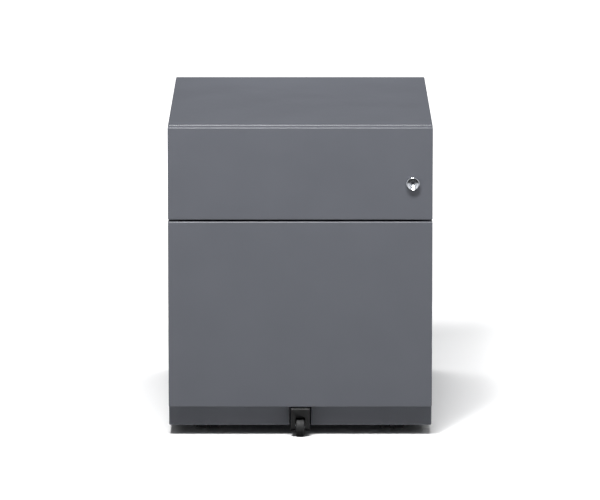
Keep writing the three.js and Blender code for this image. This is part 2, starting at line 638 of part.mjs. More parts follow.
/** Mounting plate with the bearing race and the king pin, about the swivel axis. */
function castorPlate(name) {
  const half = CASTOR_PLATE / 2;
  const plateTop = CASTOR_PLATE_Z + CASTOR_PLATE_THICKNESS;
  const plate = box([-half, half], [-half, half], [CASTOR_PLATE_Z, plateTop]);
  const race = rod("z", RACE_RADIUS, [RACE_Z, CASTOR_PLATE_Z], [0, 0], ROUND);
  const pinFoot = HOOD_TOP - BOSS_HEIGHT + KING_PIN_RECESS;
  const pin = rod("z", KING_PIN_RADIUS, [pinFoot, CASTOR_PLATE_Z], [0, 0]);
  const screw = CASTOR_SCREW_SPACING / 2;
  const holes = [-screw, screw].flatMap((x) =>
    [-screw, screw].map((y) =>
      rod("z", CASTOR_SCREW_RADIUS, [CASTOR_PLATE_Z - PAST, PAN_Z], [x, y]),
    ),
  );
  return piece(name, zinc, cut(join(plate, race, pin), ...holes));
}

/** Hood: a cover over both wheels, the web between them and the swivel boss. */
function castorHood(name) {
  const axle = [-CASTOR_TRAIL, CASTOR_WHEEL_RADIUS];
  const coverHalf = CASTOR_WHEEL_GAP / 2 + CASTOR_WHEEL_WIDTH;
  const webHalf = CASTOR_WHEEL_GAP / 2 - 2 * SEAM;
  const inside = HOOD_RADIUS - HOOD_THICKNESS;
  const cover = extrudedAlongX(
    [
      ...arc(axle, HOOD_RADIUS, HOOD_REAR_ANGLE, HOOD_FRONT_ANGLE, 12),
      ...arc(axle, inside, HOOD_FRONT_ANGLE, HOOD_REAR_ANGLE, 12),
    ],
    [-coverHalf, coverHalf],
  );
  const web = extrudedAlongX(
    [
      ...arc(axle, inside + HOOD_WEB_OVERLAP, HOOD_REAR_ANGLE, HOOD_FRONT_ANGLE, 12),
      ...arc(axle, HOOD_FOOT.radius, HOOD_FOOT.from, HOOD_FOOT.to, 8),
    ],
    [-webHalf, webHalf],
  );
  const boss = rod("z", BOSS_RADIUS, [HOOD_TOP - BOSS_HEIGHT, HOOD_TOP], [0, 0], ROUND);
  const crownFoot = HOOD_TOP - HOOD_CROWN - CROWN_OVERLAP;
  const crown = box([-BOSS_RADIUS, BOSS_RADIUS], [-CASTOR_TRAIL, 0], [crownFoot, HOOD_TOP]);
  const boreEnds = [HOOD_TOP - BOSS_HEIGHT - PAST, HOOD_TOP + PAST];
  const pinBore = rod("z", KING_PIN_RADIUS + SEAM, boreEnds, [0, 0]);
  const axleBore = rod("x", AXLE_RADIUS + SEAM, [-CASE_X, CASE_X], axle);
  return piece(name, blackNylon, cut(join(cover, web, boss, crown), pinBore, axleBore));
}

/** One wheel about its own axis, which lies along X, with its dished inner side at x = 0. */
function castorWheel(name) {
  const rim = CASTOR_WHEEL_RADIUS / Math.cos(Math.PI / ROUND); // puts the flats on the true radius
  const bore = AXLE_RADIUS + SEAM;
  const width = CASTOR_WHEEL_WIDTH;
  const hollow = rim - WHEEL_RIM.wall;
  const wheel = turned("x", [
    [bore, 0],
    [bore + HUB_WALL, 0],
    [bore + HUB_WALL + HUB_TAPER, WHEEL_DISH],
    [hollow - WHEEL_RIM.taper, WHEEL_DISH],
    [hollow, 0],
    [rim - WHEEL_RIM.chamfer, 0],
    [rim, WHEEL_RIM.chamferDepth],
    [rim, width - WHEEL_SHOULDER.width],
    [rim - WHEEL_SHOULDER.radius, width - WHEEL_SHOULDER.end],
    [bore, width],
  ]);
  return piece(name, blackTread, wheel);
}

/** The parts of one castor, placed on its swivel axis. */
function castor(place, x, y) {
  const axleZ = CASTOR_WHEEL_RADIUS;
  const reach = CASTOR_WHEEL_GAP / 2 + CASTOR_WHEEL_WIDTH - AXLE_RECESS;
  const axle = piece(
    `castor_axle_${place}`,
    zinc,
    rod("x", AXLE_RADIUS, [-reach, reach], [-CASTOR_TRAIL, axleZ]),
  );
  const wheels = Object.entries(SIDES).map(([name, side]) => {
    const wheel = castorWheel(`castor_wheel_${place}_${name}`);
    wheel.position.set((side * CASTOR_WHEEL_GAP) / 2, -CASTOR_TRAIL, axleZ);
    wheel.rotation.z = side > 0 ? 0 : Math.PI;
    return wheel;
  });
  const plate = castorPlate(`castor_plate_${place}`);
  const made = group(plate, castorHood(`castor_hood_${place}`), axle, ...wheels);
  made.position.set(x, y, 0);
  return made;
}

function castors() {
  const x = CASE_X - CASTOR_INSET_X;
  const rows = { front: CASE_FRONT_Y + CASTOR_INSET_Y, rear: BACK_Y - CASTOR_INSET_Y };
  return Object.entries(rows).flatMap(([row, y]) =>
    Object.entries(SIDES).map(([name, side]) => castor(`${row}_${name}`, side * x, y)),
  );
}

// ---------------------------------------------------------------- stabiliser

/** Bracket under the filing drawer's front, with two rounded legs round the wheel. */
function stabiliserBracket() {
  const half = BRACKET_WIDTH / 2;
  const front = FRONT_Y + BRACKET_SETBACK;
  const back = front + BRACKET_DEPTH;
  const axle = [STABILISER_Y, STABILISER_RADIUS];
  const outline = [
    [front + BRACKET_CHAMFER, BRACKET_TOP],
    [front, BRACKET_TOP - BRACKET_CHAMFER],
    [front, STABILISER_RADIUS - BRACKET_LEG_DROP],
    ...arc(axle, BRACKET_LEG.radius, BRACKET_LEG.from, BRACKET_LEG.to, 8),
    [back, STABILISER_RADIUS + BRACKET_BACK_RAISE],
    [back, BRACKET_TOP],
  ];
  const body = extrudedAlongX(outline.reverse(), [-half, half]);
  const slotHalf = STABILISER_WIDTH / 2 + STABILISER_SIDE_GAP;
  const slotBack = STABILISER_Y + STABILISER_RADIUS + STABILISER_SIDE_GAP;
  const roof = 2 * STABILISER_RADIUS + STABILISER_ROOF_GAP;
  const slot = box([-slotHalf, slotHalf], [front - PAST, slotBack], [0, roof]);
  const [padWidth, padDepth] = BRACKET_PAD;
  const pad = box(
    [-padWidth / 2, padWidth / 2],
    [front + BRACKET_CHAMFER, front + BRACKET_CHAMFER + padDepth],
    [BRACKET_TOP - PAST, FILE_FRONT.bottom - SEAM],
  );
  const bore = rod("x", STABILISER_AXLE_RADIUS + SEAM, [-CASE_X, CASE_X], axle);
  return piece("stabiliser_bracket", blackNylon, cut(join(body, pad), slot, bore));
}

function stabiliserAxle() {
  const half = BRACKET_WIDTH / 2 - STABILISER_AXLE_RECESS;
  const axle = [STABILISER_Y, STABILISER_RADIUS];
  return piece("stabiliser_axle", zinc, rod("x", STABILISER_AXLE_RADIUS, [-half, half], axle));
}

function stabiliserWheel() {
  const rim = STABILISER_RADIUS / Math.cos(Math.PI / ROUND); // puts the flats on the true radius
  const bore = STABILISER_AXLE_RADIUS + SEAM;
  const half = STABILISER_WIDTH / 2;
  const wheel = turned("x", [
    [bore, -half],
    [rim - TREAD_CHAMFER, -half],
    [rim, TREAD_CHAMFER - half],
    [rim, half - TREAD_CHAMFER],
    [rim - TREAD_CHAMFER, half],
    [bore, half],
  ]);
  const mesh = piece("stabiliser_wheel", blackTread, wheel);
  mesh.position.set(0, STABILISER_Y, STABILISER_RADIUS);
  return mesh;
}

// ---------------------------------------------------------------- the cabinet

/** Both sides' runners for one drawer, sorted by the body that each member moves with. */
function runnerPair(drawer, height, z) {
  const pair = Object.keys(SIDES).map((name) => runner(drawer, name, height, z));
  return {
    caseMembers: pair.map((r) => r.caseMember),
    middles: group(...pair.map((r) => r.middle)),
    drawerMembers: pair.map((r) => r.drawerMember),
  };
}

const topRunners = runnerPair("top", TOP_RUNNER_HEIGHT, TOP_TRAY_Z + TOP_RUNNER_RAISE);
const fileRunners = runnerPair("file", FILE_RUNNER_HEIGHT, FILE_TRAY_Z + FILE_RUNNER_RAISE);
const topCatchZ = TOP_TRAY_Z + TOP_CATCH_RAISE;
const fileCatchZ = FILE_TRAY_Z + FILE_CATCH_RAISE;

const carcass = group(
  caseShell(),
  backPanel(),
  basePan(),
  plinthRail(),
  topFrontRail(),
  ...uprights(),
  ...topRunners.caseMembers,
  ...fileRunners.caseMembers,
  lockBarGuide(),
);

const cutoutHalf = BARREL_RADIUS + LOCK_CUTOUT.height;
const lockCutout = box(
  [LOCK_X - BARREL_RADIUS - LOCK_CUTOUT.side, CASE_X],
  [TRAY_FRONT_Y + SHEET, CATCH_Y - LOCK_CUTOUT.catchGap],
  [LOCK_Z - cutoutHalf, LOCK_Z + cutoutHalf],
);
const barrelHole = lockHole(BARREL_RADIUS + SEAM);
const topDrawer = group(
  drawerFront("top_drawer_front", TOP_FRONT, barrelHole),
  backplate("top_drawer_backplate", TOP_FRONT, barrelHole),
  tray("top_drawer_tray", TOP_TRAY_Z, TOP_TRAY_HEIGHT, barrelHole, lockCutout),
  drawerCatch("top_drawer_catch", topCatchZ),
  ...topRunners.drawerMembers,
  lockBarrel(),
  lockNut(),
  group(lockPlug(), lockCam()),
);

const fileDrawer = group(
  drawerFront("file_drawer_front", FILE_FRONT),
  backplate("file_drawer_backplate", FILE_FRONT),
  tray("file_drawer_tray", FILE_TRAY_Z, FILE_TRAY_HEIGHT),
  drawerCatch("file_drawer_catch", fileCatchZ),
  ...Object.entries(SIDES).map(([name, side]) => hangingRail(`hanging_rail_${name}`, side)),
  ...fileRunners.drawerMembers,
  stabiliserBracket(),
  stabiliserAxle(),
  stabiliserWheel(),
);

const cabinet = group(
  carcass,
  lockingBar([topCatchZ - HOOK_DROP, fileCatchZ - HOOK_DROP]),
  topDrawer,
  topRunners.middles,
  fileDrawer,
  fileRunners.middles,
  ...castors(),
);

export default cabinet;
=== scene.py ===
"""A rolling pedestal cabinet in powder-coated steel: its finishes, its fine shapes and its studio.

Every length is in metres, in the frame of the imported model: +Z up, the drawer fronts facing -Y.
"""

import json
import logging
from dataclasses import dataclass
from enum import Enum
from functools import cache
from math import atan2, cos, pi, radians, sin, tan
from typing import Any, ClassVar, Sequence

import bmesh
import bpy
from bpy.types import Material, Node, NodeSocket, NodeTree, Object
from mathutils import Matrix, Vector

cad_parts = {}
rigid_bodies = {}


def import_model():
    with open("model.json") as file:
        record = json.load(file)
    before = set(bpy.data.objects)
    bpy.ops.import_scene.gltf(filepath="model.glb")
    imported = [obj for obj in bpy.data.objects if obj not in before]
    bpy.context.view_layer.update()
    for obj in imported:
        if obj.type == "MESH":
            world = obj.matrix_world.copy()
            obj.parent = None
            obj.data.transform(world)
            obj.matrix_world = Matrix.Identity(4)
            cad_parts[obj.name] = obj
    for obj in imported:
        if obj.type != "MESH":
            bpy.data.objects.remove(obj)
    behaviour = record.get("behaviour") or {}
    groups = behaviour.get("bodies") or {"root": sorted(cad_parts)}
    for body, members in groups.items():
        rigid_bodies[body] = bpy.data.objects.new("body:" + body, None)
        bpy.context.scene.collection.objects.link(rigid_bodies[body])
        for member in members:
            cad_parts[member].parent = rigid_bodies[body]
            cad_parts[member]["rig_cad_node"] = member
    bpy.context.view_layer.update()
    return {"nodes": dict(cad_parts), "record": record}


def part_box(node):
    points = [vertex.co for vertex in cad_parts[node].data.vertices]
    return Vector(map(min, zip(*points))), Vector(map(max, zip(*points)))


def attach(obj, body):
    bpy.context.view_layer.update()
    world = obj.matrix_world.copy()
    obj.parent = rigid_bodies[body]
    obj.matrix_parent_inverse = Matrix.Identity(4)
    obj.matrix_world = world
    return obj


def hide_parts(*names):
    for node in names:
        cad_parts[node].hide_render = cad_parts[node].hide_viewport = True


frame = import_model()

LOG = logging.getLogger("pedestal")
MM = 0.001
SEAM = 0.3 * MM  # the gap that touching pieces keep
PAST = 5 * MM  # how far a cutting tool goes past the piece
FINE_EDGE = 0.2 * MM  # the rounding of a cut sheet's edges
TINY = 1e-6  # smaller than any size here
SMOOTH_ANGLE = 35  # edges that turn by more degrees stay sharp
NOISE_SPAN = (0.3, 0.7)  # where nearly all of a noise texture's values lie
Point = tuple[float, float]
Box = tuple[Vector, Vector]


class Axis(Enum):
    """An axis of the model's frame."""

    X = 0
    Y = 1
    Z = 2

    def lift(self, u: float, v: float, along: float) -> Vector:
        """A point at `along` on this axis, with u and v on the other two in order."""
        values = [u, v]
        values.insert(self.value, along)
        return Vector(values)


class Side(Enum):
    """A side of the cabinet, as seen from its front."""

    LEFT = -1
    RIGHT = 1

    @property
    def word(self) -> str:
        """The side's name as the nodes spell it."""
        return self.name.lower()


# ---- outlines


def arc(centre: Point, radius: float, start: float, end: float, steps: int = 8) -> list[Point]:
    """Points on an arc.

    Args:
        centre: The arc's centre.
        radius: Its radius.
        start: Its first angle, in degrees from the outline's first axis.
        end: Its last angle.
        steps: How many chords it has.

    Returns:
        The points, from start to end.
    """
    angles = [radians(start + (end - start) * k / steps) for k in range(steps + 1)]
    return [(centre[0] + radius * cos(a), centre[1] + radius * sin(a)) for a in angles]


def rounded(corners: Sequence[tuple[float, float, float]], steps: int = 5) -> list[Point]:
    """A closed outline whose corners are rounded.

    Args:
        corners: Each corner's place and the radius that rounds it.
        steps: How many chords each rounding has.

    Returns:
        The outline's points.
    """
    outline: list[Point] = []
    for i, (x, y, radius) in enumerate(corners):
        corner = Vector((x, y))
        if radius <= 0:
            outline.append((x, y))
            continue
        back = (Vector(corners[i - 1][:2]) - corner).normalized()
        ahead = (Vector(corners[(i + 1) % len(corners)][:2]) - corner).normalized()
        half = back.angle(ahead) / 2
        centre = corner + (back + ahead).normalized() * radius / sin(half)
        first = corner + back * radius / tan(half) - centre
        last = corner + ahead * radius / tan(half) - centre
        turn = atan2(first.cross(last), first.dot(last))
        for k in range(steps + 1):
            spoke = Matrix.Rotation(turn * k / steps, 2) @ first
            outline.append(tuple(centre + spoke))
    return outline


def folded(path: Sequence[Point], gauge: float, bend: float, steps: int = 4) -> list[Point]:
    """The section of a sheet folded along a path, with the sheet to the path's left.

    Args:
        path: The line that one face of the sheet follows, with sharp corners.
        gauge: The sheet's thickness.
        bend: The radius inside each fold.
        steps: How many chords each fold has.

    Returns:
        The section's closed outline.
    """
    near: list[Vector] = []
    far: list[Vector] = []
    for i, place in enumerate(path):
        point = Vector(place)
        before = (point - Vector(path[i - 1])).normalized() if i else None
        after = (Vector(path[i + 1]) - point).normalized() if i < len(path) - 1 else None
        if before is None or after is None:
            run = after if before is None else before
            near.append(point)
            far.append(point + Vector((-run.y, run.x)) * gauge)
            continue
        turn = atan2(before.cross(after), before.dot(after))
        side = 1 if turn > 0 else -1
        on_path, off_path = (bend + gauge, bend) if turn > 0 else (bend, bend + gauge)
        out = Vector((before.y, -before.x)) * side
        centre = point - before * on_path * tan(abs(turn) / 2) - out * on_path
        for k in range(steps + 1):
            spoke = Matrix.Rotation(turn * k / steps, 2) @ out
            near.append(centre + spoke * on_path)
            far.append(centre + spoke * off_path)
    return [tuple(p) for p in [*near, *reversed(far)]]


# ---- meshes


def made(name: str, work: bmesh.types.BMesh, sharp: float = SMOOTH_ANGLE) -> Object:
    """Turns a working mesh into an object in the scene.

    Args:
        name: The object's name.
        work: The working mesh, which is freed.
        sharp: Edges that turn by more degrees stay sharp.

    Returns:
        The new object.
    """
    bmesh.ops.recalc_face_normals(work, faces=work.faces[:])
    mesh = bpy.data.meshes.new(name)
    work.to_mesh(mesh)
    work.free()
    return shaded(link(name, mesh), sharp)


def link(name: str, data: bpy.types.ID) -> Object:
    """Adds an object that shows a mesh, a lamp or a camera."""
    thing = bpy.data.objects.new(name, data)
    bpy.context.scene.collection.objects.link(thing)
    return thing


def shaded(thing: Object, sharp: float = SMOOTH_ANGLE) -> Object:
    """Shades an object smooth, apart from edges that turn by more than `sharp` degrees."""
    thing.data.polygons.foreach_set("use_smooth", [True] * len(thing.data.polygons))
    thing.data.set_sharp_from_angle(angle=radians(sharp))
    return thing


def extruded(name: str, outline: Sequence[Point], axis: Axis, start: float, end: float) -> Object:
    """A closed outline spread along an axis.

    Args:
        name: The object's name.
        outline: Its points, on the other two axes in order.
        axis: The axis it is spread along.
        start: Where it starts.
        end: Where it ends.

    Returns:
        The solid.
    """
    work = bmesh.new()
    ends = [[work.verts.new(axis.lift(u, v, w)) for u, v in outline] for w in (start, end)]
    count = len(outline)
    for i in range(count):
        j = (i + 1) % count
        work.faces.new([ends[0][i], ends[0][j], ends[1][j], ends[1][i]])
    for ring in ends:
        work.faces.new(ring)
    return made(name, work)


def turned(
    name: str,
    profile: Sequence[Point],
    axis: Axis,
    centre: Vector,
    steps: int = 48,
    sharp: float = SMOOTH_ANGLE,
) -> Object:
    """A solid of revolution.

    Args:
        name: The object's name.
        profile: Points of radius and place along the axis. It ends on the axis or closes on itself.
        axis: The axis it turns about.
        centre: A point on that axis, where the profile's places are counted from.
        steps: How many sides it has.
        sharp: Edges that turn by more degrees stay sharp.

    Returns:
        The solid.
    """
    work = bmesh.new()
    rings = []
    for radius, place in profile:
        if radius < TINY:
            rings.append([work.verts.new(centre + axis.lift(0, 0, place))])
            continue
        angles = [2 * pi * k / steps for k in range(steps)]
        rings.append(
            [work.verts.new(centre + axis.lift(radius * cos(a), radius * sin(a), place)) for a in angles]
        )
    closes = len(rings[0]) > 1 and len(rings[-1]) > 1
    pairs = list(zip(rings, rings[1:])) + ([(rings[-1], rings[0])] if closes else [])
    for low, high in pairs:
        for k in range(steps):
            j = (k + 1) % steps
            corners = [low[k % len(low)], low[j % len(low)], high[j % len(high)], high[k % len(high)]]
            work.faces.new(list(dict.fromkeys(corners)))
    return made(name, work, sharp)


def block(
    name: str,
    low: Sequence[float],
    high: Sequence[float],
    radius: float,
    steps: int = 3,
    open_to: Vector | None = None,
    gauge: float = 1 * MM,
) -> Object:
    """A box with rounded edges, or a folded pan that is open on one side.

    Args:
        name: The object's name.
        low: Its lowest corner.
        high: Its highest corner.
        radius: The edges' outer radius.
        steps: How many chords each edge has.
        open_to: The direction that a pan is open to. A block has none.
        gauge: A pan's sheet thickness.

    Returns:
        The block or pan.
    """
    work = bmesh.new()
    bmesh.ops.create_cube(work, size=1)
    centre = (Vector(low) + Vector(high)) / 2
    size = Vector(high) - Vector(low)
    for corner in work.verts:
        corner.co = centre + Vector(a * b for a, b in zip(corner.co, size))
    mouth = [f for f in work.faces if open_to is not None and f.normal.dot(open_to) > 0.9]
    rim = {edge for face in mouth for edge in face.edges}
    edges = [edge for edge in work.edges if edge not in rim]
    bmesh.ops.bevel(work, geom=edges, offset=radius, segments=steps, profile=0.5, affect="EDGES")
    if open_to is None:
        return made(name, work)
    far = max(v.co.dot(open_to) for v in work.verts)
    flat = [f for f in work.faces if all(v.co.dot(open_to) > far - TINY for v in f.verts)]
    bmesh.ops.delete(work, geom=flat, context="FACES")
    pan = made(name, work)
    sheet = pan.modifiers.new("sheet", "SOLIDIFY")
    sheet.thickness = gauge
    sheet.offset = -1
    sheet.use_even_offset = True
    return applied(pan)


def applied(thing: Object) -> Object:
    """Bakes an object's modifiers into its mesh."""
    bpy.context.view_layer.update()
    graph = bpy.context.evaluated_depsgraph_get()
    mesh = bpy.data.meshes.new_from_object(thing.evaluated_get(graph))
    thing.modifiers.clear()
    thing.data = mesh
    return shaded(thing)


def combined(thing: Object, operation: str, others: Sequence[Object]) -> Object:
    """Changes a piece by other solids.

    Args:
        thing: The piece.
        operation: What the others do to it.
        others: The other solids, which are removed.

    Returns:
        The piece.
    """
    for other in others:
        change = thing.modifiers.new(operation, "BOOLEAN")
        change.operation = operation
        change.solver = "EXACT"
        change.object = other
    applied(thing)
    for other in others:
        bpy.data.objects.remove(other)
    return thing


def cut(thing: Object, *tools: Object) -> Object:
    """Cuts solids out of a piece."""
    return combined(thing, "DIFFERENCE", tools)


def fused(name: str, first: Object, *others: Object) -> Object:
    """Welds solids that pass into each other into one skin, under a new name."""
    first.name = name
    return combined(first, "UNION", others)


def joined(name: str, things: Sequence[Object]) -> Object:
    """Gathers several solids into one piece."""
    work = bmesh.new()
    for thing in things:
        whole = thing.data.copy()
        whole.transform(thing.matrix_basis)
        work.from_mesh(whole)
        bpy.data.objects.remove(thing)
    return made(name, work)


def softened(thing: Object, width: float, steps: int = 2) -> Object:
    """Rounds a piece's sharp edges by a width, with shading that keeps the flats flat."""
    if "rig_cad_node" in thing:
        weld = thing.modifiers.new("weld", "WELD")
        weld.merge_threshold = 0.005 * MM
    edge = thing.modifiers.new("edge", "BEVEL")
    edge.width = width
    edge.segments = steps
    edge.limit_method = "ANGLE"
    edge.angle_limit = radians(40)
    edge.use_clamp_overlap = True
    thing.modifiers.new("flats", "WEIGHTED_NORMAL").keep_sharp = False
    return thing


# ---- finishes


def linear(code: str) -> tuple[float, float, float, float]:
    """The linear colour of an sRGB hex code."""
    parts = [int(code[i : i + 2], 16) / 255 for i in (1, 3, 5)]
    return (*(c / 12.92 if c <= 0.04045 else ((c + 0.055) / 1.055) ** 2.4 for c in parts), 1.0)


def add(tree: NodeTree, kind: str, settings: dict[Any, Any], links: dict[Any, NodeSocket]) -> Node:
    """Adds a node.

    Args:
        tree: The material's tree.
        kind: The node's type.
        settings: Values for its sockets, by name or number, or for its own properties.
        links: What feeds its sockets.

    Returns:
        The node.
    """
    node = tree.nodes.new(kind)
    for key, value in settings.items():
        if isinstance(key, int) or key in node.inputs:
            node.inputs[key].default_value = value
        else:
            setattr(node, key, value)
    for key, source in links.items():
        tree.links.new(source, node.inputs[key])
    return node


def spread(tree: NodeTree, value: NodeSocket, start: Point, end: Point = (0, 1)) -> NodeSocket:
    """Maps one range of values onto another, and holds it at both ends.

    Args:
        tree: The tree that the node goes into.
        value: What is mapped.
        start: The range that it has.
        end: The range that it gets.

    Returns:
        The mapped value.
    """
    settings = {"From Min": start[0], "From Max": start[1], "To Min": end[0], "To Max": end[1]}
    return add(tree, "ShaderNodeMapRange", settings, {"Value": value}).outputs[0]


def maths(tree: NodeTree, operation: str, *values: NodeSocket) -> NodeSocket:
    """Works out one operation on one or two values."""
    return add(tree, "ShaderNodeMath", {"operation": operation}, dict(enumerate(values))).outputs[0]


@dataclass(frozen=True)
class Finish:
    """A surface finish, as a procedural material.

    Attributes:
        name: The material's name.
        colour: Its sRGB hex code.
        roughness: Its mean roughness.
        roughness_spread: How far the roughness wanders.
        metallic: 1 on bare metal, or 0.
        tone_spread: How far the colour's brightness wanders, as a share of it.
        tone_size: The size of those patches.
        grain_size: The spacing of the surface's own texture.
        grain_depth: That texture's depth.
        stretch: How closely the grain is packed along each axis, where 1 is its own spacing.
    """

    name: str
    colour: str
    roughness: float
    roughness_spread: float = 0.05
    metallic: float = 0.0
    tone_spread: float = 0.03
    tone_size: float = 60 * MM
    grain_size: float = 1.5 * MM
    grain_depth: float = 0.01 * MM
    stretch: tuple[float, float, float] = (1, 1, 1)

    @cache
    def material(self) -> Material:
        """The material, made once."""
        material = bpy.data.materials.new(self.name)
        material.use_nodes = True
        tree = material.node_tree
        tree.nodes.clear()
        shader = add(tree, "ShaderNodeBsdfPrincipled", {"Metallic": self.metallic}, {})
        place = add(tree, "ShaderNodeTexCoord", {}, {}).outputs["Object"]
        steps = {"Scale": tuple(s / self.grain_size for s in self.stretch)}
        grain = add(tree, "ShaderNodeMapping", steps, {"Vector": place}).outputs[0]
        self.dress(tree, shader, place, grain)
        output = add(tree, "ShaderNodeOutputMaterial", {}, {"Surface": shader.outputs[0]})
        output.is_active_output = True
        return material

    def dress(self, tree: NodeTree, shader: Node, place: NodeSocket, grain: NodeSocket) -> None:
        """Feeds the shader.

        Args:
            tree: The material's tree.
            shader: The principled shader.
            place: Coordinates in metres.
            grain: Coordinates in steps of the grain.
        """
        cloudy = {"Scale": 1 / self.tone_size, "Detail": 3.0}
        tone = add(tree, "ShaderNodeTexNoise", cloudy, {"Vector": place}).outputs["Fac"]
        self.tint(tree, shader, tone)
        self.gloss(tree, shader, tone)
        fine = {"Scale": 1.0, "Detail": 2.0, "Roughness": 0.6}
        texture = add(tree, "ShaderNodeTexNoise", fine, {"Vector": grain}).outputs["Fac"]
        self.emboss(tree, shader, texture)

    def tint(self, tree: NodeTree, shader: Node, tone: NodeSocket) -> None:
        """Varies the colour's brightness with `tone`."""
        base = linear(self.colour)
        ends = [tuple(c * (1 + sign * self.tone_spread) for c in base[:3]) for sign in (-1, 1)]
        ramp = add(tree, "ShaderNodeValToRGB", {}, {"Fac": tone})
        for element, place, end in zip(ramp.color_ramp.elements, NOISE_SPAN, ends):
            element.position = place
            element.color = (*end, 1)
        tree.links.new(ramp.outputs[0], shader.inputs["Base Color"])

    def gloss(self, tree: NodeTree, shader: Node, tone: NodeSocket) -> None:
        """Varies the roughness with `tone`."""
        ends = (self.roughness - self.roughness_spread, self.roughness + self.roughness_spread)
        tree.links.new(spread(tree, tone, NOISE_SPAN, ends), shader.inputs["Roughness"])

    def emboss(self, tree: NodeTree, shader: Node, height: NodeSocket) -> None:
        """Raises the surface by the grain's depth with `height`."""
        relief = {"Strength": 1.0, "Distance": self.grain_depth}
        bump = add(tree, "ShaderNodeBump", relief, {"Height": height})
        tree.links.new(bump.outputs[0], shader.inputs["Normal"])


# Epoxy-polyester powder, baked on: a soft satin with a shallow orange peel, drawn coarse enough to show.
POWDER_COAT = Finish(
    "slate_powder_coat", "#4a4c52", 0.38, 0.012, 0.0, 0.02, 60 * MM, 1.6 * MM, 0.005 * MM
)
# The same coat inside, where the spray reaches less: drier, rougher and duller than the faces.
INNER_POWDER_COAT = Finish(
    "slate_powder_coat_inside", "#4f5257", 0.56, 0.05, tone_spread=0.05, grain_size=1.4 * MM
)
# Bright zinc plate on cold-rolled steel: cool, cloudy, and drawn out along the rolled strip.
ZINC_PLATE = Finish(
    "bright_zinc_plate", "#c3c7cc", 0.42, 0.06, 1.0, 0.05, 14 * MM, 1.6 * MM, 0.0015 * MM, (1, 0.08, 1)
)
# Nickel-chrome plate on a die-cast barrel: a near mirror with a trace of polishing haze.
CHROME_PLATE = Finish(
    "polished_chrome_plate", "#dcdee2", 0.07, 0.03, 1.0, 0.02, 6 * MM, 2.5 * MM, 0.002 * MM
)
# Glass-filled nylon moulded in a spark-eroded tool: near black, satin, with a fine even stipple.
MOULDED_NYLON = Finish(
    "moulded_black_nylon", "#121212", 0.46, 0.06, tone_spread=0.12, tone_size=9 * MM, grain_size=0.7 * MM
)
# The wheels' hard treads: the same nylon, rubbed rough and patchy where they roll.
SCUFFED_TREAD = Finish(
    "scuffed_nylon_tread", "#111112", 0.72, 0.08, tone_spread=0.22, tone_size=5 * MM, grain_size=0.9 * MM
)
# Hardened chrome-steel balls: polished, with a film of grease that softens the gloss.
BEARING_STEEL = Finish(
    "greased_ball_steel", "#a9abae", 0.16, 0.05, 1.0, 0.05, 3 * MM, 2 * MM, 0.001 * MM
)


@dataclass(frozen=True)
class LitFloor(Finish):
    """The studio's floor: matt white board that is lit from beneath away from the cabinet.

    Attributes:
        near: How far from the middle the glow starts.
        far: Where it is full.
    """

    near: float = 1.0
    far: float = 2.2

    def dress(self, tree: NodeTree, shader: Node, place: NodeSocket, grain: NodeSocket) -> None:
        """Feeds the shader, and lets the floor glow further out.

        Args:
            tree: The material's tree.
            shader: The principled shader.
            place: Coordinates in metres.
            grain: Coordinates in steps of the grain.
        """
        Finish.dress(self, tree, shader, place, grain)
        reach = add(tree, "ShaderNodeVectorMath", {"operation": "LENGTH"}, {0: place}).outputs["Value"]
        shader.inputs["Emission Color"].default_value = linear("#ffffff")
        tree.links.new(spread(tree, reach, (self.near, self.far)), shader.inputs["Emission Strength"])


FLOOR_PAINT = LitFloor(
    "matt_white_floor", "#f4f4f4", 0.85, 0.03, tone_spread=0.004, tone_size=900 * MM, grain_size=6 * MM
)

SLOTS = {
    "case_paint": POWDER_COAT,
    "inner_paint": INNER_POWDER_COAT,
    "zinc_steel": ZINC_PLATE,
    "chrome": CHROME_PLATE,
    "black_nylon": MOULDED_NYLON,
    "black_tread": SCUFFED_TREAD,
}


def dress(thing: Object, finish: Finish) -> None:
    """Gives an object one finish in place of any it has."""
    thing.data.materials.clear()
    thing.data.materials.append(finish.material())


def fit(thing: Object, body: str, slot: str, *nodes: str, finish: Finish | None = None) -> Object:
    """Dresses a piece and lets it move with its body.

    Args:
        thing: The piece, in its place.
        body: The body it rides on.
        slot: The record's material slot.
        nodes: The CAD nodes that it stands for.
        finish: Its finish, where that isn't the slot's own.

    Returns:
        The piece.
    """
    dress(thing, finish or SLOTS[slot])
    thing.modifiers.new("flats", "WEIGHTED_NORMAL").keep_sharp = True
    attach(thing, body)
    if nodes:
        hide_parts(*nodes)
    LOG.info("%s rides on %s", thing.name, body)
    return thing


# ---- the case


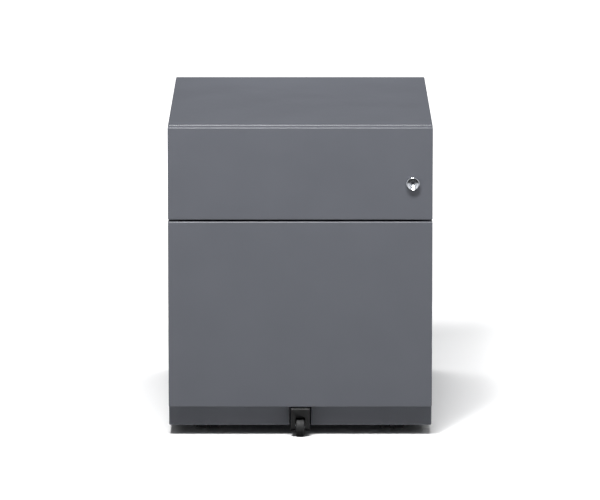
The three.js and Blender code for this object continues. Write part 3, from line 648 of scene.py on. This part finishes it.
@dataclass
class Case:
    """The folded case: wrap, brow, finger channels, plinth and back.

    Attributes:
        gauge: The sheet's thickness.
        bend: The radius inside its folds.
        grip_width: How far each finger channel reaches in from the side.
        opening_gap: From the drawers' widest part to the case's mouth.
        lip: How far the top's front edge is folded down.
        lap: How far that fold runs back over the wrap.
        notch_margin: The plinth's notch, beside the stabiliser's bracket.
        notch_corner: The radius of its corners.
        rear_return: Width of the flanges that the back panel is riveted to.
        border: Width of the back panel's flat border.
        press_depth: How far its field is pressed in.
        press_corners: The corners' radii at the top and the foot of the pressing's slope.
        rivet: A rivet head's radius, its height, and how far it goes into the panel.
        rivet_rows: The rows' places, as shares of the panel's height.
    """

    body: ClassVar[str] = "carcass"
    gauge: float = 1 * MM
    bend: float = 1 * MM
    grip_width: float = 14 * MM
    opening_gap: float = 1.2 * MM
    lip: float = 12 * MM
    lap: float = 4 * MM
    notch_margin: float = 2.5 * MM
    notch_corner: float = 1.5 * MM
    rear_return: float = 14 * MM
    border: float = 14 * MM
    press_depth: float = 3 * MM
    press_corners: Point = (6 * MM, 4 * MM)
    rivet: tuple[float, float, float] = (3.2 * MM, 0.9 * MM, 0.3 * MM)
    rivet_rows: tuple[float, ...] = (0.06, 0.35, 0.65, 0.94)

    def build(self) -> None:
        """Builds and dresses the whole case."""
        self.low, self.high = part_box("case_shell")
        self.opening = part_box("top_drawer_catch")[1].x + self.opening_gap
        self.grip_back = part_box("plinth_rail")[1].y + SEAM
        self.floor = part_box("base_pan")[1].z
        folds = [self.wrap(), self.brow(), *self.channels(), *self.rear_returns()]
        shell = joined("case_wrap", folds)
        fit(shell, self.body, "case_paint", "case_shell")
        fit(self.plinth(), self.body, "case_paint", "plinth_rail")
        fit(self.back(), self.body, "case_paint", "back_panel")
        fit(self.rivets(), self.body, "zinc_steel")

    def wrap(self) -> Object:
        """The top and both sides, folded from one sheet."""
        half, top, foot = self.high.x, self.high.z, self.low.z
        path = [(half, foot), (half, top), (-half, top), (-half, foot)]
        start = self.grip_back + self.gauge + self.bend
        return extruded("wrap", folded(path, self.gauge, self.bend), Axis.Y, start, self.high.y)

    def brow(self) -> Object:
        """The top's front edge, folded down over the finger channels."""
        back = self.grip_back + self.gauge + self.bend
        low = (self.low.x, self.low.y, self.high.z - self.lip)
        high = (self.high.x, back + self.lap, self.high.z)
        brow = block("brow", low, high, self.gauge + self.bend, 4, Vector((0, 0, -1)), self.gauge)
        behind_low = (low[0] - PAST, back, low[2] - PAST)
        behind_high = (high[0] + PAST, high[1] + PAST, high[2] + PAST)
        return cut(brow, block("behind", behind_low, behind_high, FINE_EDGE))

    def channels(self) -> list[Object]:
        """The front flange and the finger channel at each side."""
        wall, outer = self.high.x - self.grip_width, self.high.x
        front, back = self.low.y, self.grip_back
        end = back + self.gauge + self.bend
        path = [(self.opening, front), (wall, front), (wall, back), (outer, back), (outer, end)]
        section = folded(path, self.gauge, self.bend)
        zs = (self.floor + SEAM, self.high.z - self.gauge)
        right = extruded("channel_right", section, Axis.Z, *zs)
        left = extruded("channel_left", [(-x, y) for x, y in section], Axis.Z, *zs)
        return [left, right]

    def rear_returns(self) -> list[Object]:
        """The flanges that the back panel is fixed to."""
        made_returns = []
        for side in Side:
            x = sorted(side.value * (self.high.x - d) for d in (self.gauge, self.rear_return))
            y = self.high.y - 2 * self.gauge - SEAM
            low, high = (x[0], y, self.low.z), (x[1], y + self.gauge, self.high.z - self.gauge)
            made_returns.append(block(f"return_{side.word}", low, high, FINE_EDGE))
        return made_returns

    def plinth(self) -> Object:
        """The plinth, folded back all round and notched for the stabiliser."""
        low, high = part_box("plinth_rail")
        edge = self.gauge + self.bend
        rail = block("plinth", low, high, edge, 4, Vector((0, 1, 0)), self.gauge)
        bracket_low, bracket_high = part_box("stabiliser_bracket")
        x0, x1 = bracket_low.x - self.notch_margin, bracket_high.x + self.notch_margin
        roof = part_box("file_drawer_front")[0].z - SEAM
        radius = self.notch_corner
        notch = rounded([(x0, 0, 0), (x1, 0, 0), (x1, roof, radius), (x0, roof, radius)])
        return cut(rail, extruded("notch", notch, Axis.Y, low.y - PAST, high.y + PAST))

    def back(self) -> Object:
        """The back panel, with a field pressed inwards to stiffen it."""
        low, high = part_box("back_panel")
        corner = 2 * MM
        loops = []
        for inset, depth, radius in (
            (0, self.bend / 2, corner),
            (self.bend / 2, 0, corner),
            (self.border, 0, self.press_corners[0]),
            (self.border + self.press_depth, self.press_depth, self.press_corners[1]),
        ):
            x, z0, z1 = high.x - inset, low.z + inset, high.z - inset
            corners = [(-x, z0, radius), (x, z0, radius), (x, z1, radius), (-x, z1, radius)]
            loops.append([Vector((u, high.y - depth, v)) for u, v in rounded(corners)])
        work = bmesh.new()
        rings = [[work.verts.new(place) for place in loop] for loop in loops]
        for outer, inner in zip(rings, rings[1:]):
            for i in range(len(outer)):
                j = (i + 1) % len(outer)
                work.faces.new([outer[i], outer[j], inner[j], inner[i]])
        work.faces.new(rings[-1])
        panel = made("back_pressing", work)
        # An open sheet's faces may all point inwards, and the sheet is thickened inwards.
        sheet = panel.modifiers.new("sheet", "SOLIDIFY")
        sheet.thickness = self.gauge - self.bend / 2
        outward = panel.data.polygons[-1].normal.y > 0
        sheet.offset = -1 if outward else 1
        return applied(panel)

    def rivets(self) -> Object:
        """The domed rivets that hold the back panel to the case's rear flanges."""
        low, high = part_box("back_panel")
        radius, rise, seat = self.rivet
        cap = [(radius, 0.1 * MM), (radius * 0.8, rise * 0.6), (radius * 0.4, rise * 0.95), (0, rise)]
        dome = [(0, -seat), (radius, -seat), *cap]
        heads = []
        rows = [low.z + (high.z - low.z) * share for share in self.rivet_rows]
        for side in Side:
            for z in rows:
                centre = Vector((side.value * (high.x - self.border / 2), high.y, z))
                heads.append(turned("rivet", dome, Axis.Y, centre, 20))
        return joined("back_rivets", heads)


# ---- drawer fronts


@dataclass
class DrawerFront:
    """A drawer front folded into a pan with rounded edges.

    Attributes:
        drawer: The drawer's name in the nodes.
        radius: The folds' outer radius.
        gauge: The sheet's thickness.
    """

    drawer: str
    radius: float = 1.8 * MM
    gauge: float = 1 * MM

    def build(self, *holes: Object) -> None:
        """Builds and dresses the front, with any holes cut through it."""
        node = f"{self.drawer}_drawer_front"
        low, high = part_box(node)
        pan = block(f"{self.drawer}_front_pan", low, high, self.radius, 4, Vector((0, 1, 0)), self.gauge)
        if holes:
            cut(pan, *holes)
        fit(pan, f"{self.drawer}_drawer", "case_paint", node)


# ---- lock


@dataclass
class Lock:
    """The cam lock: bezel, barrel and keyed plug.

    Attributes:
        bezel_radius: The bezel's outer radius.
        roll: The radius that the bezel's rim is rounded over.
        dish: How deep the cone goes down to the plug.
        barrel_radius: The barrel's radius behind the front.
        plug_radius: The plug's radius.
        plug_floor: The radius of the flat in the middle of its dished face.
        cone_slope: How steeply the cone goes in, as depth over radius.
        keyway: The keyway's width, height and depth.
        sharp: Edges that turn by more degrees stay sharp.
    """

    bezel_radius: float = 10.7 * MM
    roll: float = 1.2 * MM
    dish: float = 2.6 * MM
    barrel_radius: float = 9.2 * MM
    plug_radius: float = 5.4 * MM
    plug_floor: float = 1.6 * MM
    cone_slope: float = 0.73
    keyway: tuple[float, float, float] = (6.4 * MM, 1.3 * MM, 10 * MM)
    sharp: float = 50

    def __post_init__(self) -> None:
        """Finds the lock's axis and its ends."""
        low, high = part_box("lock_barrel")
        self.centre = Vector(((low.x + high.x) / 2, 0, (low.z + high.z) / 2))
        self.face, self.tail = low.y, high.y

    def hole(self) -> Object:
        """The hole that the barrel passes through."""
        radius = self.barrel_radius + SEAM
        start = self.face - PAST
        ends = [(0, start), (radius, start), (radius, self.tail), (0, self.tail)]
        return turned("lock_hole", ends, Axis.Y, self.centre)

    def build(self) -> None:
        """Builds and dresses the lock."""
        fit(self.barrel(), "top_drawer", "chrome", "lock_barrel")
        fit(self.plug(), "lock_plug", "chrome", "lock_plug")

    def barrel(self) -> Object:
        """The bezel and barrel, as one chromed casting."""
        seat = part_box("top_drawer_front")[0].y - SEAM
        bore = self.plug_radius + 0.25 * MM
        edge, face, easing = self.bezel_radius, self.face, 0.4 * MM
        crest = edge - self.roll
        profile = [
            (bore, face + self.dish),
            *arc((crest, face + self.roll), self.roll, -150, 0, 12),
            (edge, seat - easing),
            (edge - easing, seat),
            (self.barrel_radius, seat),
            (self.barrel_radius, self.tail),
            (bore, self.tail),
        ]
        return turned("lock_bezel", profile, Axis.Y, self.centre, 72, self.sharp)

    def plug(self) -> Object:
        """The plug, whose dished face carries on the bezel's cone down to the keyway."""
        low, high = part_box("lock_plug")
        radius, face = self.plug_radius, low.y
        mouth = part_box("lock_barrel")[0].y + self.dish + 0.15 * MM
        floor, stem, rim = self.plug_floor, 3 * MM, 0.3 * MM
        bottom = mouth + (radius - floor) * self.cone_slope
        dished = [(0, bottom), (floor, bottom), (radius - rim, mouth + 0.1 * MM)]
        side = [(radius, mouth + 0.2 * MM), (radius, self.tail), (stem, self.tail)]
        profile = [*dished, *side, (stem, high.y), (0, high.y)]
        plug = turned("lock_plug_face", profile, Axis.Y, self.centre, 48, self.sharp)
        width, height, depth = (value / 2 for value in self.keyway)
        middle = self.centre + Vector((0, face, 0))
        reach = Vector((width, 2 * depth, height))
        return cut(plug, block("keyway", middle - reach, middle + reach, 0.3 * MM))


# ---- stabiliser


@dataclass
class Stabiliser:
    """The small fixed wheel under the filing drawer's front.

    Attributes:
        leg_radius: The rounded end of each leg.
        seat_gap: From the moulding's top to the drawer front's edge.
        slope: How far the front's upper band leans back, and its height.
        edge: How far the moulding's edges are rounded.
        fork_gap: The fork's gap beside and behind the wheel.
        tread_crown: How far the tread's shoulders are rounded.
    """

    body: ClassVar[str] = "file_drawer"
    leg_radius: float = 5.5 * MM
    seat_gap: float = 3 * MM
    slope: tuple[float, float] = (1.2 * MM, 2.9 * MM)
    edge: float = 0.6 * MM
    fork_gap: float = 1 * MM
    tread_crown: float = 2.2 * MM

    def build(self) -> None:
        """Builds and dresses the bracket, the wheel and its axle."""
        low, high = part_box("stabiliser_wheel")
        self.axle = (low + high) / 2
        self.wheel_radius = (high.z - low.z) / 2
        fit(self.bracket(), self.body, "black_nylon", "stabiliser_bracket")
        fit(self.wheel(low, high), "stabiliser_wheel", "black_tread", "stabiliser_wheel")
        fit(self.pin(), self.body, "zinc_steel", "stabiliser_axle")

    def bracket(self) -> Object:
        """The moulded fork and its seat against the drawer front."""
        low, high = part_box("stabiliser_bracket")
        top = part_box("file_drawer_front")[0].z - self.seat_gap
        axle = (self.axle.y, self.axle.z)
        slope_back, slope_down = self.slope
        heel = 3 * MM
        outline = [
            (low.y + slope_back, top),
            (low.y, top - slope_down),
            (low.y, self.axle.z - 1 * MM),
            *arc(axle, self.leg_radius, 205, 325, 14),
            (high.y, self.axle.z + 6 * MM),
            *arc((high.y - heel, top - heel), heel, 0, 90, 5),
        ]
        body = softened(extruded("stabiliser_fork", outline, Axis.X, low.x, high.x), self.edge, 3)
        applied(body)
        half = (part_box("stabiliser_wheel")[1].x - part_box("stabiliser_wheel")[0].x) / 2 + self.fork_gap
        roof = 2 * self.wheel_radius + 2.5 * MM
        foot, corner = low.z - PAST, 1.2 * MM
        slot = rounded([(-half, foot, 0), (half, foot, 0), (half, roof, corner), (-half, roof, corner)])
        end = self.axle.y + self.wheel_radius + self.fork_gap
        cut(body, extruded("slot", slot, Axis.Y, low.y - PAST, end))
        # The pad that holds it to the drawer's underside.
        pad_half, pad_front, pad_rear = 12 * MM, low.y + 2 * MM, low.y + 15 * MM
        pad_low, pad_high = (-pad_half, pad_front, top - 1 * MM), (pad_half, pad_rear, high.z)
        pad = block("pad", pad_low, pad_high, 0.5 * MM)
        return joined("stabiliser_fork", [body, pad])

    def wheel(self, low: Vector, high: Vector) -> Object:
        """The wheel, with rounded shoulders, a parting line and a recessed hub."""
        half, radius, crown = (high.x - low.x) / 2, self.wheel_radius, self.tread_crown
        hub, web = half - 0.2 * MM, half - 1.4 * MM
        middle = [(2.8 * MM, hub), (5 * MM, hub), (5.6 * MM, web), (radius - 4 * MM, web)]
        shoulder = arc((radius - crown, half - crown), crown, 90, 0, 6)
        parting = [(radius, 0.25 * MM), (radius - 0.15 * MM, 0.0)]
        right = [*middle, (radius - 3.4 * MM, half - 0.1 * MM), *shoulder, *parting]
        profile = right + [(r, -x) for r, x in reversed(right[:-1])]
        return turned("stabiliser_tyre", profile, Axis.X, self.axle, 64)

    def pin(self) -> Object:
        """The axle, with domed ends."""
        low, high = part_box("stabiliser_axle")
        half, radius = (high.x - low.x) / 2, (high.z - low.z) / 2
        end = [(radius, half - 0.6 * MM), (radius * 0.8, half - 0.15 * MM), (0, half)]
        profile = [(r, -x) for r, x in reversed(end)] + end
        return turned("stabiliser_pin", profile, Axis.X, self.axle, 32)


# ---- castors


@dataclass
class Castor:
    """A twin-wheel castor with a moulded hood.

    Attributes:
        row: The row it stands in.
        side: The side it stands on.
        hood_gauge: The hood's thickness.
        hood_clearance: The hood's gap to its wheels.
        hood_sweep: Where the hood starts and ends round the axle, in degrees.
        boss_radius: The swivel boss's radius.
        boss_height: Its height.
        crown_height: The height of the bridge from the boss to the hood.
    """

    row: str
    side: Side
    hood_gauge: float = 2.5 * MM
    hood_clearance: float = 1.7 * MM
    hood_sweep: Point = (42, 168)
    boss_radius: float = 7 * MM
    boss_height: float = 12 * MM
    crown_height: float = 3.6 * MM

    @property
    def place(self) -> str:
        """The castor's place, as the nodes spell it."""
        return f"{self.row}_{self.side.word}"

    def build(self) -> None:
        """Builds and dresses the hood and both wheels."""
        plate_low, plate_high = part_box(f"castor_plate_{self.place}")
        self.pivot = (plate_low + plate_high) / 2
        low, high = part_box(f"castor_wheel_{self.place}_right")
        left_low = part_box(f"castor_wheel_{self.place}_left")[0]
        self.radius = (high.z - low.z) / 2
        self.half = (high.x - left_low.x) / 2
        self.gap = low.x - self.pivot.x
        self.axle = Vector((self.pivot.x, (low.y + high.y) / 2, self.radius))
        fit(self.hood(), f"castor_{self.place}", "black_nylon", f"castor_hood_{self.place}")
        for side in Side:
            node = f"castor_wheel_{self.place}_{side.word}"
            fit(self.wheel(side), node, "black_tread", node)

    def hood(self) -> Object:
        """The cover, the web between the wheels and the swivel boss."""
        axle = (self.axle.y, self.axle.z)
        outer = self.radius + self.hood_clearance + self.hood_gauge
        inner = outer - self.hood_gauge
        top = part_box(f"castor_hood_{self.place}")[1].z
        low, high = self.hood_sweep
        cover_line = [*arc(axle, outer, low, high, 28), *arc(axle, inner, high, low, 28)]
        x = self.axle.x
        cover = extruded("cover", cover_line, Axis.X, x - self.half, x + self.half)
        applied(softened(cover, 0.8 * MM, 3))
        web_half, web_foot = self.gap - 0.6 * MM, 8 * MM
        web_line = [*arc(axle, inner + 0.5 * MM, low, high, 24), *arc(axle, web_foot, 200, 380, 16)]
        web = extruded("web", web_line, Axis.X, x - web_half, x + web_half)
        radius, bore, easing = self.boss_radius, 4.3 * MM, 0.6 * MM
        crown_low = (x - radius, self.axle.y + 2 * MM, top - self.crown_height - 2 * MM)
        crown = block("crown", crown_low, (x + radius, self.pivot.y, top), 1 * MM)
        foot = top - self.boss_height
        rim = [(radius - easing, top), (radius, top - easing)]
        boss_profile = [(bore, top), *rim, (radius, foot), (bore, foot)]
        boss = turned("boss", boss_profile, Axis.Z, Vector((x, self.pivot.y, 0)), 40)
        return fused(f"castor_cover_{self.place}", cover, web, crown, boss)

    def wheel(self, side: Side) -> Object:
        """One wheel, dished on its inner side and capped on its outer side."""
        width, radius = self.half - self.gap, self.radius
        bore, dish, cap = 3.3 * MM, 6 * MM, width - 1.6 * MM
        inner, outer = 1.5 * MM, 5 * MM  # the shoulders' radii
        hub = [(bore, 0.2 * MM), (2 * bore, 0.2 * MM), (7.2 * MM, dish)]
        cup = [(radius - 5.5 * MM, dish), (radius - 4.5 * MM, 0.3 * MM)]
        near = arc((radius - inner, inner), inner, -90, 0, 4)
        far = arc((radius - outer, width - 6 * MM), outer, 0, 70, 8)
        face = [(radius - 6.5 * MM, cap), (9 * MM, cap), (8 * MM, width - 0.4 * MM), (4 * MM, width)]
        profile = [*hub, *cup, *near, *far, *face, (bore, width)]
        if side is Side.LEFT:
            profile = [(r, -x) for r, x in profile]
        start = self.axle + Vector((side.value * self.gap, 0, 0))
        return turned(f"castor_tyre_{self.place}_{side.word}", profile, Axis.X, start, 56)


# ---- runners


@dataclass
class BallCages:
    """The balls and their cages between one runner's three members.

    Attributes:
        drawer: The drawer's name in the nodes.
        side: The side it runs on.
        member_gauge: The members' thickness.
        cage_gauge: The cages' thickness.
        ball_radius: A ball's radius.
        ball_pitch: From one ball to the next.
        overlap: How far each cage runs past the middle, as a share of the member's length.
        cage_return: How far a cage's folds reach in.
        lane: From a cage's web to its balls' centres.
    """

    drawer: str
    side: Side
    member_gauge: float = 1.2 * MM
    cage_gauge: float = 0.5 * MM
    ball_radius: float = 1.25 * MM
    ball_pitch: float = 32 * MM
    overlap: float = 0.08
    cage_return: float = 7 * MM
    lane: float = 4 * MM

    def build(self) -> None:
        """Builds and dresses the outer and inner cages and all their balls."""
        case, middle, inner = (
            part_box(f"{self.drawer}_runner_{member}_{self.side.word}")
            for member in ("case", "middle", "drawer")
        )
        self.inward = -self.side.value
        length = middle[1].y - middle[0].y
        halfway = (middle[0].y + middle[1].y) / 2
        outer_ys = (halfway - self.overlap * length, middle[1].y - 4 * MM)
        inner_ys = (middle[0].y, halfway + self.overlap * length)
        balls = self.row("outer", case, middle, outer_ys) + self.row("inner", middle, inner, inner_ys)
        body = f"{self.drawer}_runner_middles"
        piece = joined(f"{self.drawer}_balls_{self.side.word}", balls)
        fit(piece, body, "zinc_steel", finish=BEARING_STEEL)

    def row(self, name: str, outside: Box, inside: Box, ys: Point) -> list[Object]:
        """One cage between two members, and its balls above and below.

        Args:
            name: The cage's name.
            outside: The box of the member outside it.
            inside: The box of the member inside it.
            ys: Where the cage starts and ends.

        Returns:
            The balls.
        """
        body = f"{self.drawer}_runner_middles"
        middle_z = (outside[0].z + outside[1].z) / 2
        reach = (outside[1].z - self.member_gauge + inside[1].z) / 2 - middle_z
        web_face = self.outer_face(outside) + self.inward * self.member_gauge
        next_face = self.outer_face(inside)
        web = (web_face + next_face) / 2 - self.inward * self.cage_gauge / 2
        tip = web + self.inward * self.cage_return
        path = [(tip, -reach), (web, -reach), (web, reach), (tip, reach)]
        section = [(x, middle_z + z) for x, z in folded(path, self.cage_gauge, 0.4 * MM)]
        cage = extruded(f"{self.drawer}_cage_{name}_{self.side.word}", section, Axis.Y, *ys)
        fit(cage, body, "zinc_steel")
        count = int((ys[1] - ys[0]) / self.ball_pitch)
        start = (ys[0] + ys[1] - (count - 1) * self.ball_pitch) / 2
        lane = web + self.inward * self.lane
        return [
            self.ball(Vector((lane, start + n * self.ball_pitch, middle_z + sign * reach)))
            for n in range(count)
            for sign in (-1, 1)
        ]

    def outer_face(self, box: Box) -> float:
        """The x of a member's face on the case's side."""
        return box[1].x if self.side is Side.RIGHT else box[0].x

    def ball(self, centre: Vector) -> Object:
        """One ball."""
        angles = [pi * k / 8 - pi / 2 for k in range(9)]
        profile = [(self.ball_radius * cos(a), self.ball_radius * sin(a)) for a in angles]
        return turned("ball", profile, Axis.Y, centre, 14)


# ---- kept CAD pieces


@dataclass
class KeptPieces:
    """The CAD pieces whose shape is right: they get their finish and softened edges.

    Attributes:
        edge: How far their edges are rounded.
    """

    edge: float = 0.3 * MM

    def build(self) -> None:
        """Dresses every CAD node that is still shown."""
        slots = {part["node"]: part["material_slot"] for part in frame["record"]["subparts"]}
        for name, node in frame["nodes"].items():
            if node.hide_render:
                continue
            dress(node, SLOTS[slots[name]])
            softened(node, self.edge)
            LOG.info("%s keeps its CAD shape", name)


# ---- studio


@dataclass(frozen=True)
class Lamp:
    """A rectangular soft lamp.

    Attributes:
        name: Its name.
        place: Where it hangs.
        target: Where it points.
        size: Its width and height.
        power: Its power in watts.
        in_gloss: Whether shiny surfaces show it.
    """

    name: str
    place: Vector
    target: Vector
    size: Point
    power: float
    in_gloss: bool = True

    def hang(self) -> None:
        """Adds the lamp to the scene."""
        data = bpy.data.lights.new(self.name, "AREA")
        data.shape = "RECTANGLE"
        data.size, data.size_y = self.size
        data.energy = self.power
        turn = (self.target - self.place).to_track_quat("-Z", "Y").to_matrix().to_4x4()
        lamp = link(self.name, data)
        lamp.matrix_basis = Matrix.Translation(self.place) @ turn
        lamp.visible_glossy = self.in_gloss


@dataclass
class Studio:
    """A pale floor, soft lights and the camera.

    Attributes:
        aim: The height that the camera looks at, above the floor, on the fronts' plane.
        offset: How far to the right of the middle it looks.
        distance: From there to the camera.
        pitch: How far the camera looks down, in degrees.
        lens: The camera's focal length on a 36 mm sensor, in millimetres.
        floor_size: The floor's width.
        key_from: The direction that the key lamp hangs in.
        bank_tilt: How high the wide lamp bank hangs above the horizon in front, in degrees.
        front_sky: The surround's brightness in front and above.
        rear_sky: Its brightness behind and above.
        low_sky: The share of it that is left at eye level.
        side_boards: The brightness that gloss sees beside the cabinet.
        ceiling: The brightness that gloss sees overhead, on top of the surround's own.
    """

    aim: float = 0.304
    offset: float = -0.0004
    distance: float = 8.102
    pitch: float = 9.91
    lens: float = 306.2
    floor_size: float = 60.0
    key_from: tuple[float, float, float] = (-0.165, -0.485, 0.859)
    bank_tilt: float = 62.0
    front_sky: float = 0.35
    rear_sky: float = 0.2
    low_sky: float = 0.2
    side_boards: float = 0.8
    ceiling: float = 0.4

    def build(self) -> None:
        """Sets up the floor, the lights and the camera."""
        self.floor()
        self.sky()
        self.lights()
        self.camera()
        bpy.context.scene.view_settings.view_transform = "Standard"

    def floor(self) -> None:
        """Lays the floor."""
        work = bmesh.new()
        bmesh.ops.create_grid(work, x_segments=8, y_segments=8, size=self.floor_size / 2)
        ground = made("floor", work)
        dress(ground, FLOOR_PAINT)
        # Gloss sees the dim surround below the horizon instead, as it would over a dark stand.
        ground.visible_glossy = False

    def sky(self) -> None:
        """The studio's surround: bright overhead, dim at eye level, and plain white to the camera."""
        world = bpy.data.worlds.new("studio")
        world.use_nodes = True
        tree = world.node_tree
        tree.nodes.clear()
        place = add(tree, "ShaderNodeTexCoord", {}, {}).outputs["Generated"]
        apart = add(tree, "ShaderNodeSeparateXYZ", {}, {"Vector": place}).outputs
        height = spread(tree, apart["Z"], (0, 0.75), (self.low_sky, 1))
        depth = spread(tree, apart["Y"], (-0.4, 0.4), (self.front_sky, self.rear_sky))
        glow = maths(tree, "MULTIPLY", height, depth)
        # The white boards at each side of the cabinet, which only its gloss picks up.
        across = maths(tree, "ABSOLUTE", apart["X"])
        boards = spread(tree, across, (0.3, 0.75), (0, self.side_boards))
        # They stand on the floor, so nothing bright is seen far below the horizon.
        standing = maths(tree, "MULTIPLY", boards, spread(tree, apart["Z"], (-0.5, -0.2)))
        ceiling = spread(tree, apart["Z"], (0.35, 0.8), (0, self.ceiling))
        screens = maths(tree, "MAXIMUM", standing, ceiling)
        rays = add(tree, "ShaderNodeLightPath", {}, {}).outputs
        reflected = maths(tree, "MULTIPLY", screens, rays["Is Glossy Ray"])
        total = maths(tree, "ADD", glow, reflected)
        light = add(tree, "ShaderNodeBackground", {"Color": linear("#fafcff")}, {"Strength": total})
        plain = add(tree, "ShaderNodeBackground", {"Color": linear("#ffffff")}, {})
        sources = {0: rays["Is Camera Ray"], 1: light.outputs[0], 2: plain.outputs[0]}
        both = add(tree, "ShaderNodeMixShader", {}, sources)
        add(tree, "ShaderNodeOutputWorld", {}, {"Surface": both.outputs[0]})
        bpy.context.scene.world = world

    def lights(self) -> None:
        """A bank in front, a key lamp to its left, and small lamps behind and at the right."""
        middle = Vector((0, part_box("top_drawer_front")[0].y, self.aim))
        tilt = radians(self.bank_tilt)
        key = middle + Vector(self.key_from) * 2.5
        bank = middle + Vector((0, -cos(tilt), sin(tilt))) * 2.6
        rear, below = Vector((0, 0.5, 1.0)), Vector((0, 0.2, 0))
        beside, shade = Vector((0.62, 0.0, 0.55)), Vector((0.36, 0, 0))
        Lamp("key", key, middle, size=(0.48, 0.48), power=48).hang()
        Lamp("bank", bank, middle, size=(1.25, 0.8), power=94).hang()
        Lamp("back", rear, below, size=(0.4, 0.3), power=4, in_gloss=False).hang()
        Lamp("fill", beside, shade, size=(0.3, 0.3), power=0.65, in_gloss=False).hang()

    def camera(self) -> None:
        """Places the camera in front of the cabinet, looking a little down."""
        data = bpy.data.cameras.new("camera")
        data.lens = self.lens
        data.sensor_width = 36
        data.clip_end = 100
        camera = link("camera", data)
        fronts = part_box("top_drawer_front")[0].y
        tilt = radians(self.pitch)
        back = Vector((0, -cos(tilt), sin(tilt))) * self.distance
        camera.location = Vector((self.offset, fronts, self.aim)) + back
        camera.rotation_euler = (pi / 2 - tilt, 0, 0)
        bpy.context.scene.camera = camera


def main() -> None:
    """Builds the cabinet and its studio."""
    logging.basicConfig(level=logging.INFO, format="%(name)s: %(message)s")
    Studio().build()
    Case().build()
    lock = Lock()
    DrawerFront("top").build(lock.hole())
    DrawerFront("file").build()
    lock.build()
    Stabiliser().build()
    for row in ("front", "rear"):
        for side in Side:
            Castor(row, side).build()
    for drawer in ("top", "file"):
        for side in Side:
            BallCages(drawer, side).build()
    KeptPieces().build()


if __name__ == "__main__":
    main()
